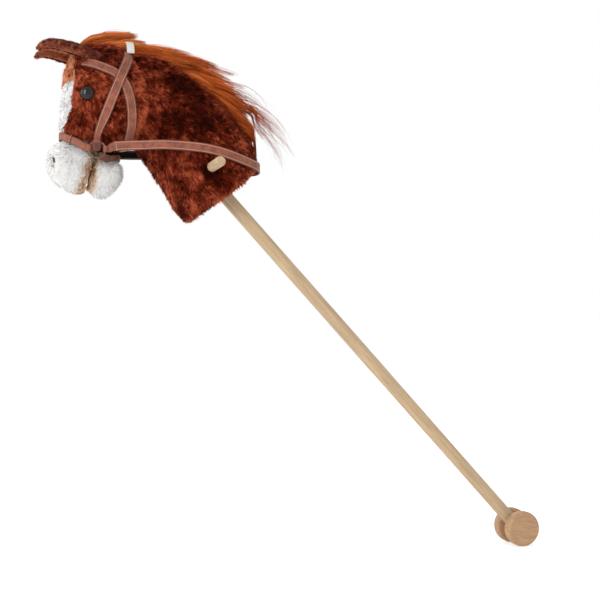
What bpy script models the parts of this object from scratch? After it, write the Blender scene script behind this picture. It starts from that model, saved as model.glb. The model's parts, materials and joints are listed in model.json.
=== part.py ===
"""Hobby horse: a plush horse head on a wooden stick with two small wheels.

Metres, +Z up. The head looks towards -X and the stick runs down to +X. The horse's left side is -Y.
The origin is the hand grip, where the handle bar crosses the stick.
"""

import math

import bmesh
import bpy
import numpy as np
from mathutils import Matrix, Vector
from mathutils.bvhtree import BVHTree

# Wooden parts
STICK_DIAMETER = 0.018
STICK_LEAN = math.radians(42.7)
GRIP_TO_AXLE = 0.663
STICK_ABOVE_GRIP = 0.150
STICK_BELOW_AXLE = 0.015
STICK_EDGE = 0.002
BAR_DIAMETER = 0.013
BAR_LENGTH = 0.220
BAR_EDGE = 0.0015
AXLE_DIAMETER = 0.008
AXLE_SEAT = 0.010
WHEEL_DIAMETER = 0.0485
WHEEL_WIDTH = 0.016
WHEEL_ROUNDING = 0.0045
WHEEL_PLAY = 0.0006
RUNNING_GAP = 0.0003

# Plush
FIT = 0.0003
CLOTH = 0.0015
COVER_SLACK = 0.0003
NECK_HALF_WIDTH = 0.057
HEAD_HALF_WIDTH = 0.0535
MUZZLE_HALF_WIDTH = 0.036
JAW_HALF_WIDTH = 0.030
BASE_TILT = math.radians(37.0)
BASE_BELOW_GRIP = 0.0392
BLAZE_BOTTOM = 0.020
BLAZE_TOP = 0.107
MOUTH_TOP_GAP = 0.0034
MOUTH_BOTTOM_GAP = 0.0070
LINING = 0.0010
EAR_ROOT_SIDE = 0.0320
EAR_TIP_SIDE = 0.0240
EAR_RADIUS = 0.0095
EAR_LEATHER = 0.0020
EYE_DIAMETER = 0.0175
EYE_HEIGHT = 0.0050
EYE_SHANK = 0.0040
EYE_SHANK_LENGTH = 0.0090
WASHER_DIAMETER = 0.0130
WASHER_THICKNESS = 0.0012
WASHER_SINK = 0.0007
MANE_HALF = 0.0115
MANE_STRIP_WIDTH = 0.009
MANE_STRIP_THICKNESS = 0.0012

# Bridle and reins
STRAP_WIDTH = 0.0125
STRAP_THICKNESS = 0.0018
NOSEBAND_WIDTH = 0.0100
CHIN_STRAP_WIDTH = 0.0090
LOOP_WIDTH = 0.0080
STRAP_REST = 0.0006
POLL_LOOP_WIDTH = 0.0110
POLL_LOOP_RISE = 0.0080
KEEPER_WIRE = 0.0011
KEEPER_LENGTH = 0.0032
RING_RADIUS = 0.0105
RING_WIRE = 0.0024
REIN_CLEARANCE = 0.0014
REIN_LAP = 0.0160
REIN_STEP = 0.0085
REIN_LIFT = math.radians(16.0)

# Side-view places, as (x, z)
RING_AT = (-0.1445, 0.0190)
EYE_AT = (-0.1570, 0.0890)
KEEPER_AT = (-0.1820, 0.0330)
KEEPER_SIDE = 0.027
MOUTH_TOP = (-0.1425, 0.0260)
MOUTH_BOTTOM = (-0.1600, -0.0450)

# Seam between the head's sides and its front gusset, in side view
GUSSET_SEAM = (
    (-0.1850, 0.0000),
    (-0.1843, 0.0420),
    (-0.1832, 0.0500),
    (-0.1800, 0.0610),
    (-0.1772, 0.0710),
    (-0.1752, 0.0870),
    (-0.1742, 0.1000),
    (-0.1727, 0.1120),
    (-0.1712, 0.1250),
    (-0.1690, 0.1600),
    (-0.1690, 0.3000),
)

# Soft forms: rings from nose to tail, as two side-view points and a share of the half width
NECK_RINGS = (
    ((0.0127, -0.0904), (0.0730, -0.0290), 0.70),
    ((-0.0130, -0.0773), (0.0712, 0.0030), 0.88),
    ((-0.0315, -0.0632), (0.0700, 0.0310), 0.96),
    ((-0.0448, -0.0414), (0.0567, 0.0515), 1.00),
    ((-0.0600, -0.0146), (0.0370, 0.0749), 0.98),
    ((-0.0788, 0.0117), (0.0145, 0.0978), 0.94),
    ((-0.0978, 0.0322), (-0.0074, 0.1156), 0.88),
    ((-0.1145, 0.0577), (-0.0336, 0.1323), 0.79),
    ((-0.1296, 0.0844), (-0.0620, 0.1475), 0.67),
    ((-0.1314, 0.1128), (-0.0870, 0.1545), 0.40),
)
HEAD_RINGS = (
    ((-0.1910, 0.0540), (-0.1840, 0.1120), 0.38),
    ((-0.1890, 0.0400), (-0.1815, 0.1310), 0.57),
    ((-0.1780, 0.0310), (-0.1735, 0.1500), 0.71),
    ((-0.1550, 0.0250), (-0.1560, 0.1620), 0.86),
    ((-0.1280, 0.0220), (-0.1300, 0.1620), 0.96),
    ((-0.1020, 0.0240), (-0.1030, 0.1570), 1.00),
    ((-0.0840, 0.0360), (-0.0840, 0.1300), 0.94),
    ((-0.0740, 0.0540), (-0.0750, 0.1020), 0.76),
    ((-0.0690, 0.0680), (-0.0690, 0.0840), 0.42),
)
MUZZLE_RINGS = (
    ((-0.2030, -0.0060), (-0.2030, 0.0140), 0.34),
    ((-0.1960, -0.0170), (-0.1990, 0.0260), 0.72),
    ((-0.1820, -0.0290), (-0.1870, 0.0340), 0.95),
    ((-0.1660, -0.0360), (-0.1700, 0.0380), 1.00),
    ((-0.1560, -0.0330), (-0.1545, 0.0360), 0.96),
    ((-0.1490, -0.0220), (-0.1430, 0.0310), 0.84),
    ((-0.1440, -0.0080), (-0.1375, 0.0200), 0.48),
)
JAW_RINGS = (
    ((-0.1590, -0.0230), (-0.1510, 0.0080), 0.48),
    ((-0.1500, -0.0340), (-0.1450, 0.0270), 0.82),
    ((-0.1350, -0.0410), (-0.1370, 0.0240), 1.00),
    ((-0.1220, -0.0340), (-0.1240, 0.0150), 1.00),
    ((-0.1120, -0.0220), (-0.1130, 0.0090), 0.77),
    ((-0.1080, -0.0100), (-0.1080, 0.0020), 0.34),
)
# Ear axis, as (x, z, share of the radius)
EAR_AXIS = (
    (-0.1400, 0.1330, 0.90),
    (-0.1550, 0.1390, 1.00),
    (-0.1690, 0.1440, 1.00),
    (-0.1830, 0.1475, 0.95),
    (-0.1960, 0.1502, 0.87),
    (-0.2060, 0.1502, 0.73),
    (-0.2128, 0.1476, 0.50),
    (-0.2168, 0.1444, 0.24),
)

# Half paths of the straps, from the side to the middle, as (x, side, z, hug); hug 1 lies on the plush
BROW_THROAT_PATH = (
    (-0.1800, 0.0000, 0.1380, 1.0),
    (-0.1740, 0.0270, 0.1360, 1.0),
    (-0.1610, 0.0380, 0.1320, 1.0),
    (-0.1480, 0.0440, 0.1275, 1.0),
    (-0.1340, 0.0480, 0.1215, 1.0),
    (-0.1210, 0.0480, 0.1150, 1.0),
    (-0.1110, 0.0500, 0.1020, 1.0),
    (-0.1045, 0.0520, 0.0830, 1.0),
    (-0.1010, 0.0510, 0.0570, 1.0),
    (-0.1005, 0.0420, 0.0370, 1.0),
    (-0.1035, 0.0230, 0.0240, 1.0),
    (-0.1050, 0.0000, 0.0205, 1.0),
)
CHEEK_PATH = (
    (-0.1035, 0.0260, 0.1470, 1.0),
    (-0.1060, 0.0360, 0.1350, 1.0),
    (-0.1150, 0.0490, 0.1130, 1.0),
    (-0.1250, 0.0500, 0.0880, 1.0),
    (-0.1360, 0.0470, 0.0600, 1.0),
    (-0.1420, 0.0430, 0.0440, 0.6),
)
POLL_PATH = (
    (-0.1025, 0.0230, 0.1505, 1.0),
    (-0.1010, 0.0120, 0.1550, 1.0),
    (-0.1000, 0.0000, 0.1570, 1.0),
)
NOSE_PATH = (
    (-0.1680, 0.0370, 0.0275, 0.7),
    (-0.1780, 0.0300, 0.0315, 1.0),
    (-0.1855, 0.0170, 0.0370, 1.0),
    (-0.1885, 0.0000, 0.0395, 1.0),
)
CHIN_PATH = (
    (-0.1270, 0.0340, 0.0070, 0.0),
    (-0.1190, 0.0250, 0.0070, 0.5),
    (-0.1140, 0.0000, 0.0100, 1.0),
)
# Strip that the mane is sewn to, in side view
MANE_STRIP_PATH = (
    (-0.1660, 0.1560),
    (-0.1500, 0.1610),
    (-0.1250, 0.1600),
    (-0.1000, 0.1560),
    (-0.0620, 0.1480),
    (-0.0300, 0.1300),
    (0.0000, 0.1080),
    (0.0300, 0.0800),
    (0.0540, 0.0540),
)
# Locks of the mane, as root and tip in side view
MANE_LOCKS = (
    ((-0.1680, 0.1480), (-0.1700, 0.1600)),
    ((-0.1570, 0.1500), (-0.1530, 0.1740)),
    ((-0.1420, 0.1520), (-0.1260, 0.1830)),
    ((-0.1240, 0.1510), (-0.1020, 0.1790)),
    ((-0.1060, 0.1480), (-0.0700, 0.1740)),
    ((-0.0900, 0.1450), (-0.0480, 0.1630)),
    ((-0.0720, 0.1390), (-0.0160, 0.1600)),
    ((-0.0550, 0.1310), (-0.0010, 0.1450)),
    ((-0.0400, 0.1210), (0.0200, 0.1390)),
    ((-0.0250, 0.1120), (0.0360, 0.1190)),
    ((-0.0100, 0.1010), (0.0540, 0.1060)),
    ((0.0040, 0.0890), (0.0680, 0.0900)),
    ((0.0180, 0.0760), (0.0820, 0.0740)),
    ((0.0300, 0.0630), (0.0860, 0.0540)),
    ((0.0400, 0.0500), (0.1060, 0.0370)),
    ((0.0480, 0.0380), (0.0900, 0.0250)),
)

# Thickness of the mane from root to tip, as share of the way and share of the half thickness
MANE_PROFILE = ((0.0, 0.45), (0.35, 1.0), (0.65, 0.85), (1.0, 0.16))

RING_SIDES = 10
ROUND_SIDES = 28
BORE_SIDES = 20


def clear_scene():
    """Remove every object that the file starts with."""
    for old in list(bpy.data.objects):
        bpy.data.objects.remove(old, do_unlink=True)


def make_collection(name):
    """A collection linked to the scene."""
    collection = bpy.data.collections.new(name)
    bpy.context.scene.collection.children.link(collection)
    return collection


clear_scene()
PARTS = make_collection("hobby_horse")
CUTTERS = make_collection("hobby_horse_cutters")


def make_material(name, color, roughness, metallic=0.0):
    """Principled material with one colour."""
    material = bpy.data.materials.new(name)
    material.use_nodes = True
    shader = material.node_tree.nodes["Principled BSDF"]
    shader.inputs["Base Color"].default_value = (*color, 1.0)
    shader.inputs["Roughness"].default_value = roughness
    shader.inputs["Metallic"].default_value = metallic
    material.diffuse_color = (*color, 1.0)
    return material


BEECH = make_material("beech", (0.53, 0.36, 0.20), 0.55)
BROWN_PLUSH = make_material("brown_plush", (0.12, 0.025, 0.012), 0.95)
WHITE_PLUSH = make_material("white_plush", (0.78, 0.76, 0.73), 0.95)
PEACH_FELT = make_material("peach_felt", (0.79, 0.52, 0.35), 0.9)
EAR_FELT = make_material("ear_felt", (0.35, 0.16, 0.07), 0.9)
FILLING = make_material("filling", (0.85, 0.85, 0.83), 1.0)
HAIR = make_material("hair", (0.38, 0.11, 0.03), 0.7)
TAPE = make_material("tape", (0.40, 0.12, 0.04), 0.8)
STRAP_BROWN = make_material("strap_brown", (0.30, 0.09, 0.05), 0.5)
WEBBING = make_material("webbing", (0.86, 0.84, 0.80), 0.8)
BLACK_GLOSS = make_material("black_gloss", (0.01, 0.01, 0.012), 0.08)
WASHER_PLASTIC = make_material("washer_plastic", (0.75, 0.75, 0.72), 0.4)
DARK_METAL = make_material("dark_metal", (0.16, 0.13, 0.10), 0.35, 1.0)


def place(mesh, name, material, collection=PARTS):
    """Add an object for a mesh, smooth with crisp edges."""
    piece = bpy.data.objects.new(name, mesh)
    collection.objects.link(piece)
    if material is None:
        piece.hide_render = True
        piece.display_type = "WIRE"
    else:
        mesh.materials.clear()
        mesh.materials.append(material)
        mesh.shade_smooth()
        mesh.set_sharp_from_angle(angle=math.radians(40))
    return piece


def mesh_from(bm, name):
    """Mesh from a bmesh, with faces pointing out."""
    bmesh.ops.recalc_face_normals(bm, faces=bm.faces)
    mesh = bpy.data.meshes.new(name)
    bm.to_mesh(mesh)
    bm.free()
    return mesh


def settled_mesh(piece):
    """The piece's evaluated mesh in world space."""
    bpy.context.view_layer.update()
    graph = bpy.context.evaluated_depsgraph_get()
    mesh = bpy.data.meshes.new_from_object(piece.evaluated_get(graph))
    mesh.transform(piece.matrix_world)
    return mesh


def boolean(piece, operation, *tools):
    """Live Boolean modifiers on a piece."""
    for tool in tools:
        step = piece.modifiers.new(tool.name, "BOOLEAN")
        step.operation = operation
        step.object = tool
        step.solver = "EXACT"
    return piece


def cut(piece, *tools):
    """Subtract the tools from the piece."""
    return boolean(piece, "DIFFERENCE", *tools)


def settle(piece):
    """Replace a piece's modifiers by their result."""
    mesh = settled_mesh(piece)
    piece.modifiers.clear()
    piece.matrix_world = Matrix.Identity(4)
    piece.data = mesh
    return piece


def offset_mesh(mesh, distance, name):
    """Copy of a mesh with each point moved along its normal."""
    moved = mesh.copy()
    moved.name = name
    for vertex, normal in zip(moved.vertices, [n.vector.copy() for n in mesh.vertex_normals]):
        vertex.co = vertex.co + normal * distance
    return moved


def side_point(xz, y=0.0):
    """A side-view place as a point."""
    return Vector((xz[0], y, xz[1]))


def skin_of(mesh):
    """Search tree of a mesh, to lay straps on it."""
    points = [v.co.copy() for v in mesh.vertices]
    return BVHTree.FromPolygons(points, [list(p.vertices) for p in mesh.polygons])


# Directions along the stick
DOWN_STICK = Vector((math.sin(STICK_LEAN), 0.0, -math.cos(STICK_LEAN)))
AXLE_AT = DOWN_STICK * GRIP_TO_AXLE
STICK_TURN = Matrix.Rotation(math.pi - STICK_LEAN, 4, "Y")
LYING = Matrix.Rotation(math.radians(90), 4, "X")


def cylinder(name, radius, length, matrix, material=None, sides=ROUND_SIDES, edge=0.0):
    """Round bar along its own Z, with an optional rounded edge at both ends."""
    bm = bmesh.new()
    bmesh.ops.create_cone(
        bm, cap_ends=True, segments=sides, radius1=radius, radius2=radius, depth=length, matrix=matrix
    )
    piece = place(mesh_from(bm, name), name, material, CUTTERS if material is None else PARTS)
    if edge > 0.0:
        bevel = piece.modifiers.new("edge", "BEVEL")
        bevel.width = edge
        bevel.segments = 2
        bevel.limit_method = "ANGLE"
        bevel.angle_limit = math.radians(60)
    return piece


def block(name, low, high, matrix=Matrix.Identity(4)):
    """Box-shaped cutter between two corners."""
    low = Vector(low)
    high = Vector(high)
    bm = bmesh.new()
    size = Matrix.Diagonal((*(high - low), 1.0))
    bmesh.ops.create_cube(bm, size=1.0, matrix=matrix @ Matrix.Translation((low + high) / 2) @ size)
    return place(mesh_from(bm, name), name, None, CUTTERS)


def prism(name, outline, half_width, material=None):
    """Side-view outline pulled out evenly to both sides."""
    bm = bmesh.new()
    near = [bm.verts.new(side_point(p, -half_width)) for p in outline]
    far = [bm.verts.new(side_point(p, half_width)) for p in outline]
    bm.faces.new(near)
    bm.faces.new(far[::-1])
    count = len(outline)
    for i in range(count):
        j = (i + 1) % count
        bm.faces.new((near[i], near[j], far[j], far[i]))
    return place(mesh_from(bm, name), name, material, CUTTERS if material is None else PARTS)


def lathe(name, profile, matrix, material, steps=ROUND_SIDES):
    """Turned piece: a profile of (radius, height) spun round its own Z."""
    mesh = bpy.data.meshes.new(name)
    closed = profile[0] == profile[-1]
    points = [(r, 0.0, z) for r, z in profile[:-1 if closed else None]]
    edges = [(i, i + 1) for i in range(len(points) - 1)]
    if closed:
        edges.append((len(points) - 1, 0))
    mesh.from_pydata(points, edges, [])
    piece = place(mesh, name, material, CUTTERS if material is None else PARTS)
    screw = piece.modifiers.new("turn", "SCREW")
    screw.steps = steps
    screw.render_steps = steps
    screw.use_merge_vertices = True
    screw.merge_threshold = 0.00001
    piece.matrix_world = matrix
    return piece


def rounded_profile(radius, half, rounding, inner_radius, depth, arc_steps=3):
    """Half outline of a disc with rounded rims and a blind bore in its lower face."""
    points = [(0.0, half), (radius - rounding, half)]
    for i in range(1, arc_steps + 1):
        turn = math.radians(90) * i / arc_steps
        points.append((radius - rounding * (1 - math.sin(turn)), half - rounding * (1 - math.cos(turn))))
    for i in range(arc_steps + 1):
        turn = math.radians(90) * i / arc_steps
        points.append((radius - rounding * (1 - math.cos(turn)), rounding * (1 - math.sin(turn)) - half))
    points += [(inner_radius, -half), (inner_radius, depth - half), (0.0, depth - half)]
    return points


def smooth_ring(rings, half_width, name, levels=1):
    """Closed soft form: rings through pairs of side-view points, smoothed by subdivision."""
    shrink = (2.0 + math.cos(2 * math.pi / RING_SIDES)) / 3.0
    bm = bmesh.new()
    loops = []
    for low, high, share in rings:
        middle = (side_point(low) + side_point(high)) / 2
        reach = (side_point(high) - side_point(low)) / 2 / shrink
        side = Vector((0.0, half_width * share / shrink, 0.0))
        loop = []
        for i in range(RING_SIDES):
            turn = 2 * math.pi * i / RING_SIDES
            loop.append(bm.verts.new(middle + reach * math.cos(turn) + side * math.sin(turn)))
        loops.append(loop)
    for first, second in zip(loops, loops[1:]):
        for i in range(RING_SIDES):
            j = (i + 1) % RING_SIDES
            bm.faces.new((first[i], first[j], second[j], second[i]))
    bm.faces.new(loops[0][::-1])
    bm.faces.new(loops[-1])
    piece = place(mesh_from(bm, name), name, None, CUTTERS)
    soft = piece.modifiers.new("soft", "SUBSURF")
    soft.levels = levels
    soft.render_levels = levels
    return piece


def form_mesh(rings, half_width, name):
    """Evaluated mesh of a soft form, in triangles so that its offset copies stay parallel."""
    cage = smooth_ring(rings, half_width, name + "_cage")
    mesh = settled_mesh(cage)
    mesh.name = name
    bpy.data.objects.remove(cage, do_unlink=True)
    bm = bmesh.new()
    bm.from_mesh(mesh)
    bmesh.ops.triangulate(bm, faces=bm.faces)
    bm.to_mesh(mesh)
    bm.free()
    return mesh


NECK = form_mesh(NECK_RINGS, NECK_HALF_WIDTH, "neck_form")
HEAD = form_mesh(HEAD_RINGS, HEAD_HALF_WIDTH, "head_form")
MUZZLE = form_mesh(MUZZLE_RINGS, MUZZLE_HALF_WIDTH, "muzzle_form")
JAW = form_mesh(JAW_RINGS, JAW_HALF_WIDTH, "jaw_form")
NECK_SKIN = skin_of(NECK)
HEAD_SKIN = skin_of(HEAD)
MUZZLE_SKIN = skin_of(MUZZLE)
JAW_SKIN = skin_of(JAW)


def inside_mesh(mesh, name):
    """Plainer form for the inner face of a cover."""
    piece = place(offset_mesh(mesh, -CLOTH - COVER_SLACK, name), name, None, CUTTERS)
    plainer = piece.modifiers.new("plainer", "DECIMATE")
    plainer.ratio = 0.45
    plain = settled_mesh(piece)
    plain.name = name
    bpy.data.objects.remove(piece, do_unlink=True)
    return plain


def cutter(mesh, name):
    """Cutter object with a given mesh."""
    return place(mesh, name, None, CUTTERS)


HEAD_ROOM = cutter(offset_mesh(HEAD, FIT, "head_room"), "head_room")
HEAD_INSIDE = cutter(inside_mesh(HEAD, "head_inside"), "head_inside")
NECK_ROOM = cutter(offset_mesh(NECK, FIT, "neck_room"), "neck_room")
NECK_INSIDE = cutter(inside_mesh(NECK, "neck_inside"), "neck_inside")
MUZZLE_ROOM = cutter(offset_mesh(MUZZLE, FIT, "muzzle_room"), "muzzle_room")

# Ways for the wooden parts through the plush
STICK_ROOM = cylinder(
    "stick_room",
    STICK_DIAMETER / 2 + FIT,
    STICK_ABOVE_GRIP + GRIP_TO_AXLE + 2 * FIT,
    Matrix.Translation(DOWN_STICK * (GRIP_TO_AXLE - STICK_ABOVE_GRIP) / 2) @ STICK_TURN,
    sides=BORE_SIDES,
)
BAR_ROOM = cylinder("bar_room", BAR_DIAMETER / 2 + FIT, BAR_LENGTH, LYING, sides=BORE_SIDES)

# The plane that closes the neck
BASE_OUT = Vector((math.sin(BASE_TILT), 0.0, -math.cos(BASE_TILT)))
BASE_ALONG = Vector((math.cos(BASE_TILT), 0.0, math.sin(BASE_TILT)))
BASE_FRAME = Matrix((BASE_ALONG, Vector((0.0, 1.0, 0.0)), -BASE_OUT)).transposed().to_4x4()
BASE_FRAME.translation = DOWN_STICK * BASE_BELOW_GRIP
WIDE = 0.2
BELOW_PANEL = block("below_panel", (-WIDE, -WIDE, -WIDE), (WIDE, WIDE, 0.0), BASE_FRAME)
BELOW_COVER = block("below_cover", (-WIDE, -WIDE, -WIDE), (WIDE, WIDE, CLOTH + FIT), BASE_FRAME)
ABOVE_PANEL = block("above_panel", (-WIDE, -WIDE, CLOTH), (WIDE, WIDE, 2 * WIDE), BASE_FRAME)
RIGHT_HALF = block("right_half", (-2 * WIDE, -FIT / 2, -WIDE), (WIDE, WIDE, WIDE))
LEFT_HALF = block("left_half", (-2 * WIDE, -WIDE, -WIDE), (WIDE, FIT / 2, WIDE))
SIDES = ("left", "right")
OTHER_HALF = {"left": RIGHT_HALF, "right": LEFT_HALF}


def sign_of(side):
    """Which way a side lies along Y."""
    return -1.0 if side == "left" else 1.0


def wood():
    """Stick, handle bar, axle and wheels."""
    length = STICK_ABOVE_GRIP + GRIP_TO_AXLE + STICK_BELOW_AXLE
    middle = DOWN_STICK * (length / 2 - STICK_ABOVE_GRIP)
    stick = cylinder(
        "stick", STICK_DIAMETER / 2, length, Matrix.Translation(middle) @ STICK_TURN, BEECH, edge=STICK_EDGE
    )
    at_axle = Matrix.Translation(AXLE_AT) @ LYING
    bore = AXLE_DIAMETER / 2 + RUNNING_GAP
    axle_room = cylinder("axle_room", bore, STICK_DIAMETER * 2, at_axle, sides=BORE_SIDES)
    cut(stick, BAR_ROOM, axle_room)
    cylinder("handle_bar", BAR_DIAMETER / 2, BAR_LENGTH, LYING, BEECH, sides=BORE_SIDES, edge=BAR_EDGE)
    inner_face = STICK_DIAMETER / 2 + WHEEL_PLAY
    axle = cylinder("axle", AXLE_DIAMETER / 2, 2 * (inner_face + AXLE_SEAT), LYING, BEECH, sides=BORE_SIDES)
    axle.location = AXLE_AT
    profile = rounded_profile(
        WHEEL_DIAMETER / 2, WHEEL_WIDTH / 2, WHEEL_ROUNDING, AXLE_DIAMETER / 2 + FIT, AXLE_SEAT + FIT
    )
    for side in SIDES:
        sign = sign_of(side)
        turn = Matrix.Rotation(-sign * math.radians(90), 4, "X")
        at = AXLE_AT + Vector((0.0, sign * (inner_face + WHEEL_WIDTH / 2), 0.0))
        lathe("wheel_" + side, profile, Matrix.Translation(at) @ turn, BEECH)


def side_ray(skin, xz, sign):
    """Where the skin is met from one side, and the way out there."""
    hit, normal, _, _ = skin.ray_cast(side_point(xz, sign * WIDE), Vector((0.0, -sign, 0.0)))
    return hit, normal


def facing(out, at):
    """Frame whose Z looks along a direction."""
    frame = out.to_track_quat("Z", "Y").to_matrix().to_4x4()
    frame.translation = at
    return frame


def eyes():
    """Domed eyes with shanks and washers, and the ways for them."""
    rooms = []
    dome_steps = 5
    for side in SIDES:
        at, normal = side_ray(HEAD_SKIN, EYE_AT, sign_of(side))
        frame = facing(normal, at + normal * FIT)
        radius = EYE_DIAMETER / 2
        profile = [(0.0, EYE_HEIGHT)]
        for i in range(1, dome_steps + 1):
            turn = math.radians(90) * i / dome_steps
            profile.append((radius * math.sin(turn), EYE_HEIGHT * math.cos(turn)))
        shank = EYE_SHANK / 2
        profile += [(shank, 0.0), (shank, -EYE_SHANK_LENGTH), (0.0, -EYE_SHANK_LENGTH)]
        lathe("eye_" + side, profile, frame, BLACK_GLOSS, steps=18)
        top = -CLOTH - WASHER_SINK
        bottom = top - WASHER_THICKNESS
        bore = shank + FIT
        outer = WASHER_DIAMETER / 2
        ring = [(bore, top), (outer, top), (outer, bottom), (bore, bottom), (bore, top)]
        lathe("eye_washer_" + side, ring, frame, WASHER_PLASTIC, steps=16)
        rooms.append(cylinder("shank_room_" + side, bore, 4 * EYE_SHANK_LENGTH, frame, sides=16))
        deep = EYE_SHANK_LENGTH + 2 * FIT
        low = Matrix.Translation((0.0, 0.0, (top + bottom) / 2))
        height = top - bottom + 2 * FIT
        rooms.append(cylinder("washer_room_" + side, outer + FIT, height, frame @ low, sides=16))
        low = Matrix.Translation((0.0, 0.0, -deep / 2))
        rooms.append(cylinder("shank_well_" + side, bore, deep, frame @ low, sides=16))
    return rooms


def neck():
    """Neck panels, base panel and filling."""
    for side in SIDES:
        panel = place(NECK.copy(), "neck_side_" + side, BROWN_PLUSH)
        cut(panel, OTHER_HALF[side], NECK_INSIDE, HEAD_ROOM, BELOW_COVER, BAR_ROOM)
    base = place(NECK.copy(), "neck_base_panel", BROWN_PLUSH)
    cut(base, BELOW_PANEL, ABOVE_PANEL, STICK_ROOM)
    filling = place(offset_mesh(NECK_INSIDE.data, -FIT, "neck_stuffing"), "neck_stuffing", FILLING)
    cut(filling, HEAD_ROOM, BELOW_COVER, STICK_ROOM, BAR_ROOM)


def gusset(name, low, high, grow):
    """Cutter for a stretch of the front gusset between two heights."""
    heights = [low - grow, *[z for _, z in GUSSET_SEAM if low < z < high], high + grow]
    xs = np.interp(heights, [z for _, z in GUSSET_SEAM], [x for x, _ in GUSSET_SEAM])
    outline = [(float(x) + grow, z) for x, z in zip(xs, heights)]
    outline += [(-2 * WIDE, high + grow), (-2 * WIDE, low - grow)]
    return prism(name, outline, WIDE)


def head(eye_rooms):
    """Head panels, front gusset and filling."""
    crown = BLAZE_TOP + WIDE / 2
    room = gusset("gusset_room", BLAZE_BOTTOM, crown, FIT)
    for side in SIDES:
        panel = place(HEAD.copy(), "head_side_" + side, BROWN_PLUSH)
        cut(panel, OTHER_HALF[side], HEAD_INSIDE, room, STICK_ROOM)
        ways = ("shank_room_" + side, "washer_room_" + side)
        cut(panel, *[r for r in eye_rooms if r.name in ways])
    blaze = place(HEAD.copy(), "blaze_panel", WHITE_PLUSH)
    cut(blaze, HEAD_INSIDE)
    boolean(blaze, "INTERSECT", gusset("blaze_room", BLAZE_BOTTOM, BLAZE_TOP, 0.0))
    forehead = place(HEAD.copy(), "forehead_panel", BROWN_PLUSH)
    cut(forehead, HEAD_INSIDE)
    boolean(forehead, "INTERSECT", gusset("forehead_room", BLAZE_TOP + FIT, crown, 0.0))
    filling = place(offset_mesh(HEAD_INSIDE.data, -FIT, "head_stuffing"), "head_stuffing", FILLING)
    cut(filling, STICK_ROOM)
    cut(filling, *[r for r in eye_rooms if not r.name.startswith("shank_room")])


def mouth_line(along, off):
    """Side-view place on the mouth's middle line, moved off it to the rear."""
    low = Vector(MOUTH_BOTTOM)
    high = Vector(MOUTH_TOP)
    ahead = (low - high).normalized()
    across = Vector((-ahead[1], ahead[0]))
    if across[0] < 0:
        across = -across
    point = high + (low - high) * along + across * off
    return point[0], point[1]


def mouth():
    """Muzzle, jaw and the folded lining between them."""
    top = MOUTH_TOP_GAP / 2
    bottom = MOUTH_BOTTOM_GAP / 2
    far = WIDE / 2
    steep = top - (bottom - top) * 0.4
    behind = [mouth_line(-0.4, -steep), mouth_line(1, -bottom), mouth_line(1, far), mouth_line(-0.4, far)]
    ahead = [mouth_line(-0.4, steep), mouth_line(1, bottom), mouth_line(1, -far), mouth_line(-0.4, -far)]
    behind_lip = prism("behind_lip", behind, WIDE)
    ahead_lip = prism("ahead_lip", ahead, WIDE)
    muzzle = place(MUZZLE.copy(), "muzzle", WHITE_PLUSH)
    cut(muzzle, HEAD_ROOM, behind_lip)
    jaw = place(JAW.copy(), "jaw", WHITE_PLUSH)
    cut(jaw, HEAD_ROOM, ahead_lip)
    start = 0.14
    end = 0.80
    wall = FIT + LINING

    def half_gap(along):
        return top + (bottom - top) * along

    outline = [
        mouth_line(start, -half_gap(start) + FIT),
        mouth_line(end, -half_gap(end) + FIT),
        mouth_line(end, -half_gap(end) + wall),
        mouth_line(start + 0.03, -half_gap(start) + wall),
        mouth_line(start + 0.03, half_gap(start) - wall),
        mouth_line(end, half_gap(end) - wall),
        mouth_line(end, half_gap(end) - FIT),
        mouth_line(start, half_gap(start) - FIT),
    ]
    lining = prism("mouth_lining", outline, JAW_HALF_WIDTH, PEACH_FELT)
    bm = bmesh.new()
    middle = side_point(mouth_line(0.45, 0.0))
    size = Matrix.Diagonal((0.03, JAW_HALF_WIDTH * 0.72, 0.0235, 1.0))
    bmesh.ops.create_uvsphere(
        bm, u_segments=24, v_segments=12, radius=1.0, matrix=Matrix.Translation(middle) @ size
    )
    boolean(lining, "INTERSECT", cutter(mesh_from(bm, "mouth_outline"), "mouth_outline"))
    cut(lining, HEAD_ROOM)


def ear_leaf(name, sign, radius_off, thickness, opening, material, tools):
    """One folded leaf of an ear, open below."""
    across = 6
    bm = bmesh.new()
    rows = []
    count = len(EAR_AXIS)
    for i, (x, z, share) in enumerate(EAR_AXIS):
        middle = EAR_ROOT_SIDE + (EAR_TIP_SIDE - EAR_ROOT_SIDE) * i / (count - 1)
        before = EAR_AXIS[max(i - 1, 0)]
        after = EAR_AXIS[min(i + 1, count - 1)]
        ahead = Vector((after[0] - before[0], 0.0, after[1] - before[1])).normalized()
        up = Vector((ahead.z, 0.0, -ahead.x))
        radius = EAR_RADIUS * share - radius_off
        row = []
        for k in range(across + 1):
            turn = opening * (2 * k / across - 1)
            side = sign * middle + radius * math.sin(turn)
            row.append(bm.verts.new(Vector((x, side, z)) + up * radius * math.cos(turn)))
        rows.append(row)
    for first, second in zip(rows, rows[1:]):
        for k in range(across):
            bm.faces.new((first[k], first[k + 1], second[k + 1], second[k]))
    mesh = mesh_from(bm, name)
    leaf = place(mesh, name, material)
    middle = mesh.polygons[len(mesh.polygons) // 2 + across // 2 - 1]
    inward = -1.0 if middle.normal.z > 0 else 1.0
    wall = leaf.modifiers.new("wall", "SOLIDIFY")
    wall.thickness = thickness
    wall.offset = inward
    cut(leaf, HEAD_ROOM, *tools)
    return leaf


def ears(tools):
    """Both ears, fur outside and lining inside."""
    for side in SIDES:
        sign = sign_of(side)
        opening = math.radians(122)
        ear_leaf(f"ear_{side}_outer", sign, 0.0, EAR_LEATHER, opening, BROWN_PLUSH, tools)
        lining_off = EAR_LEATHER + FIT
        opening = math.radians(112)
        ear_leaf(f"ear_{side}_lining", sign, lining_off * 0.8, LINING * 0.5, opening, EAR_FELT, tools)


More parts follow.
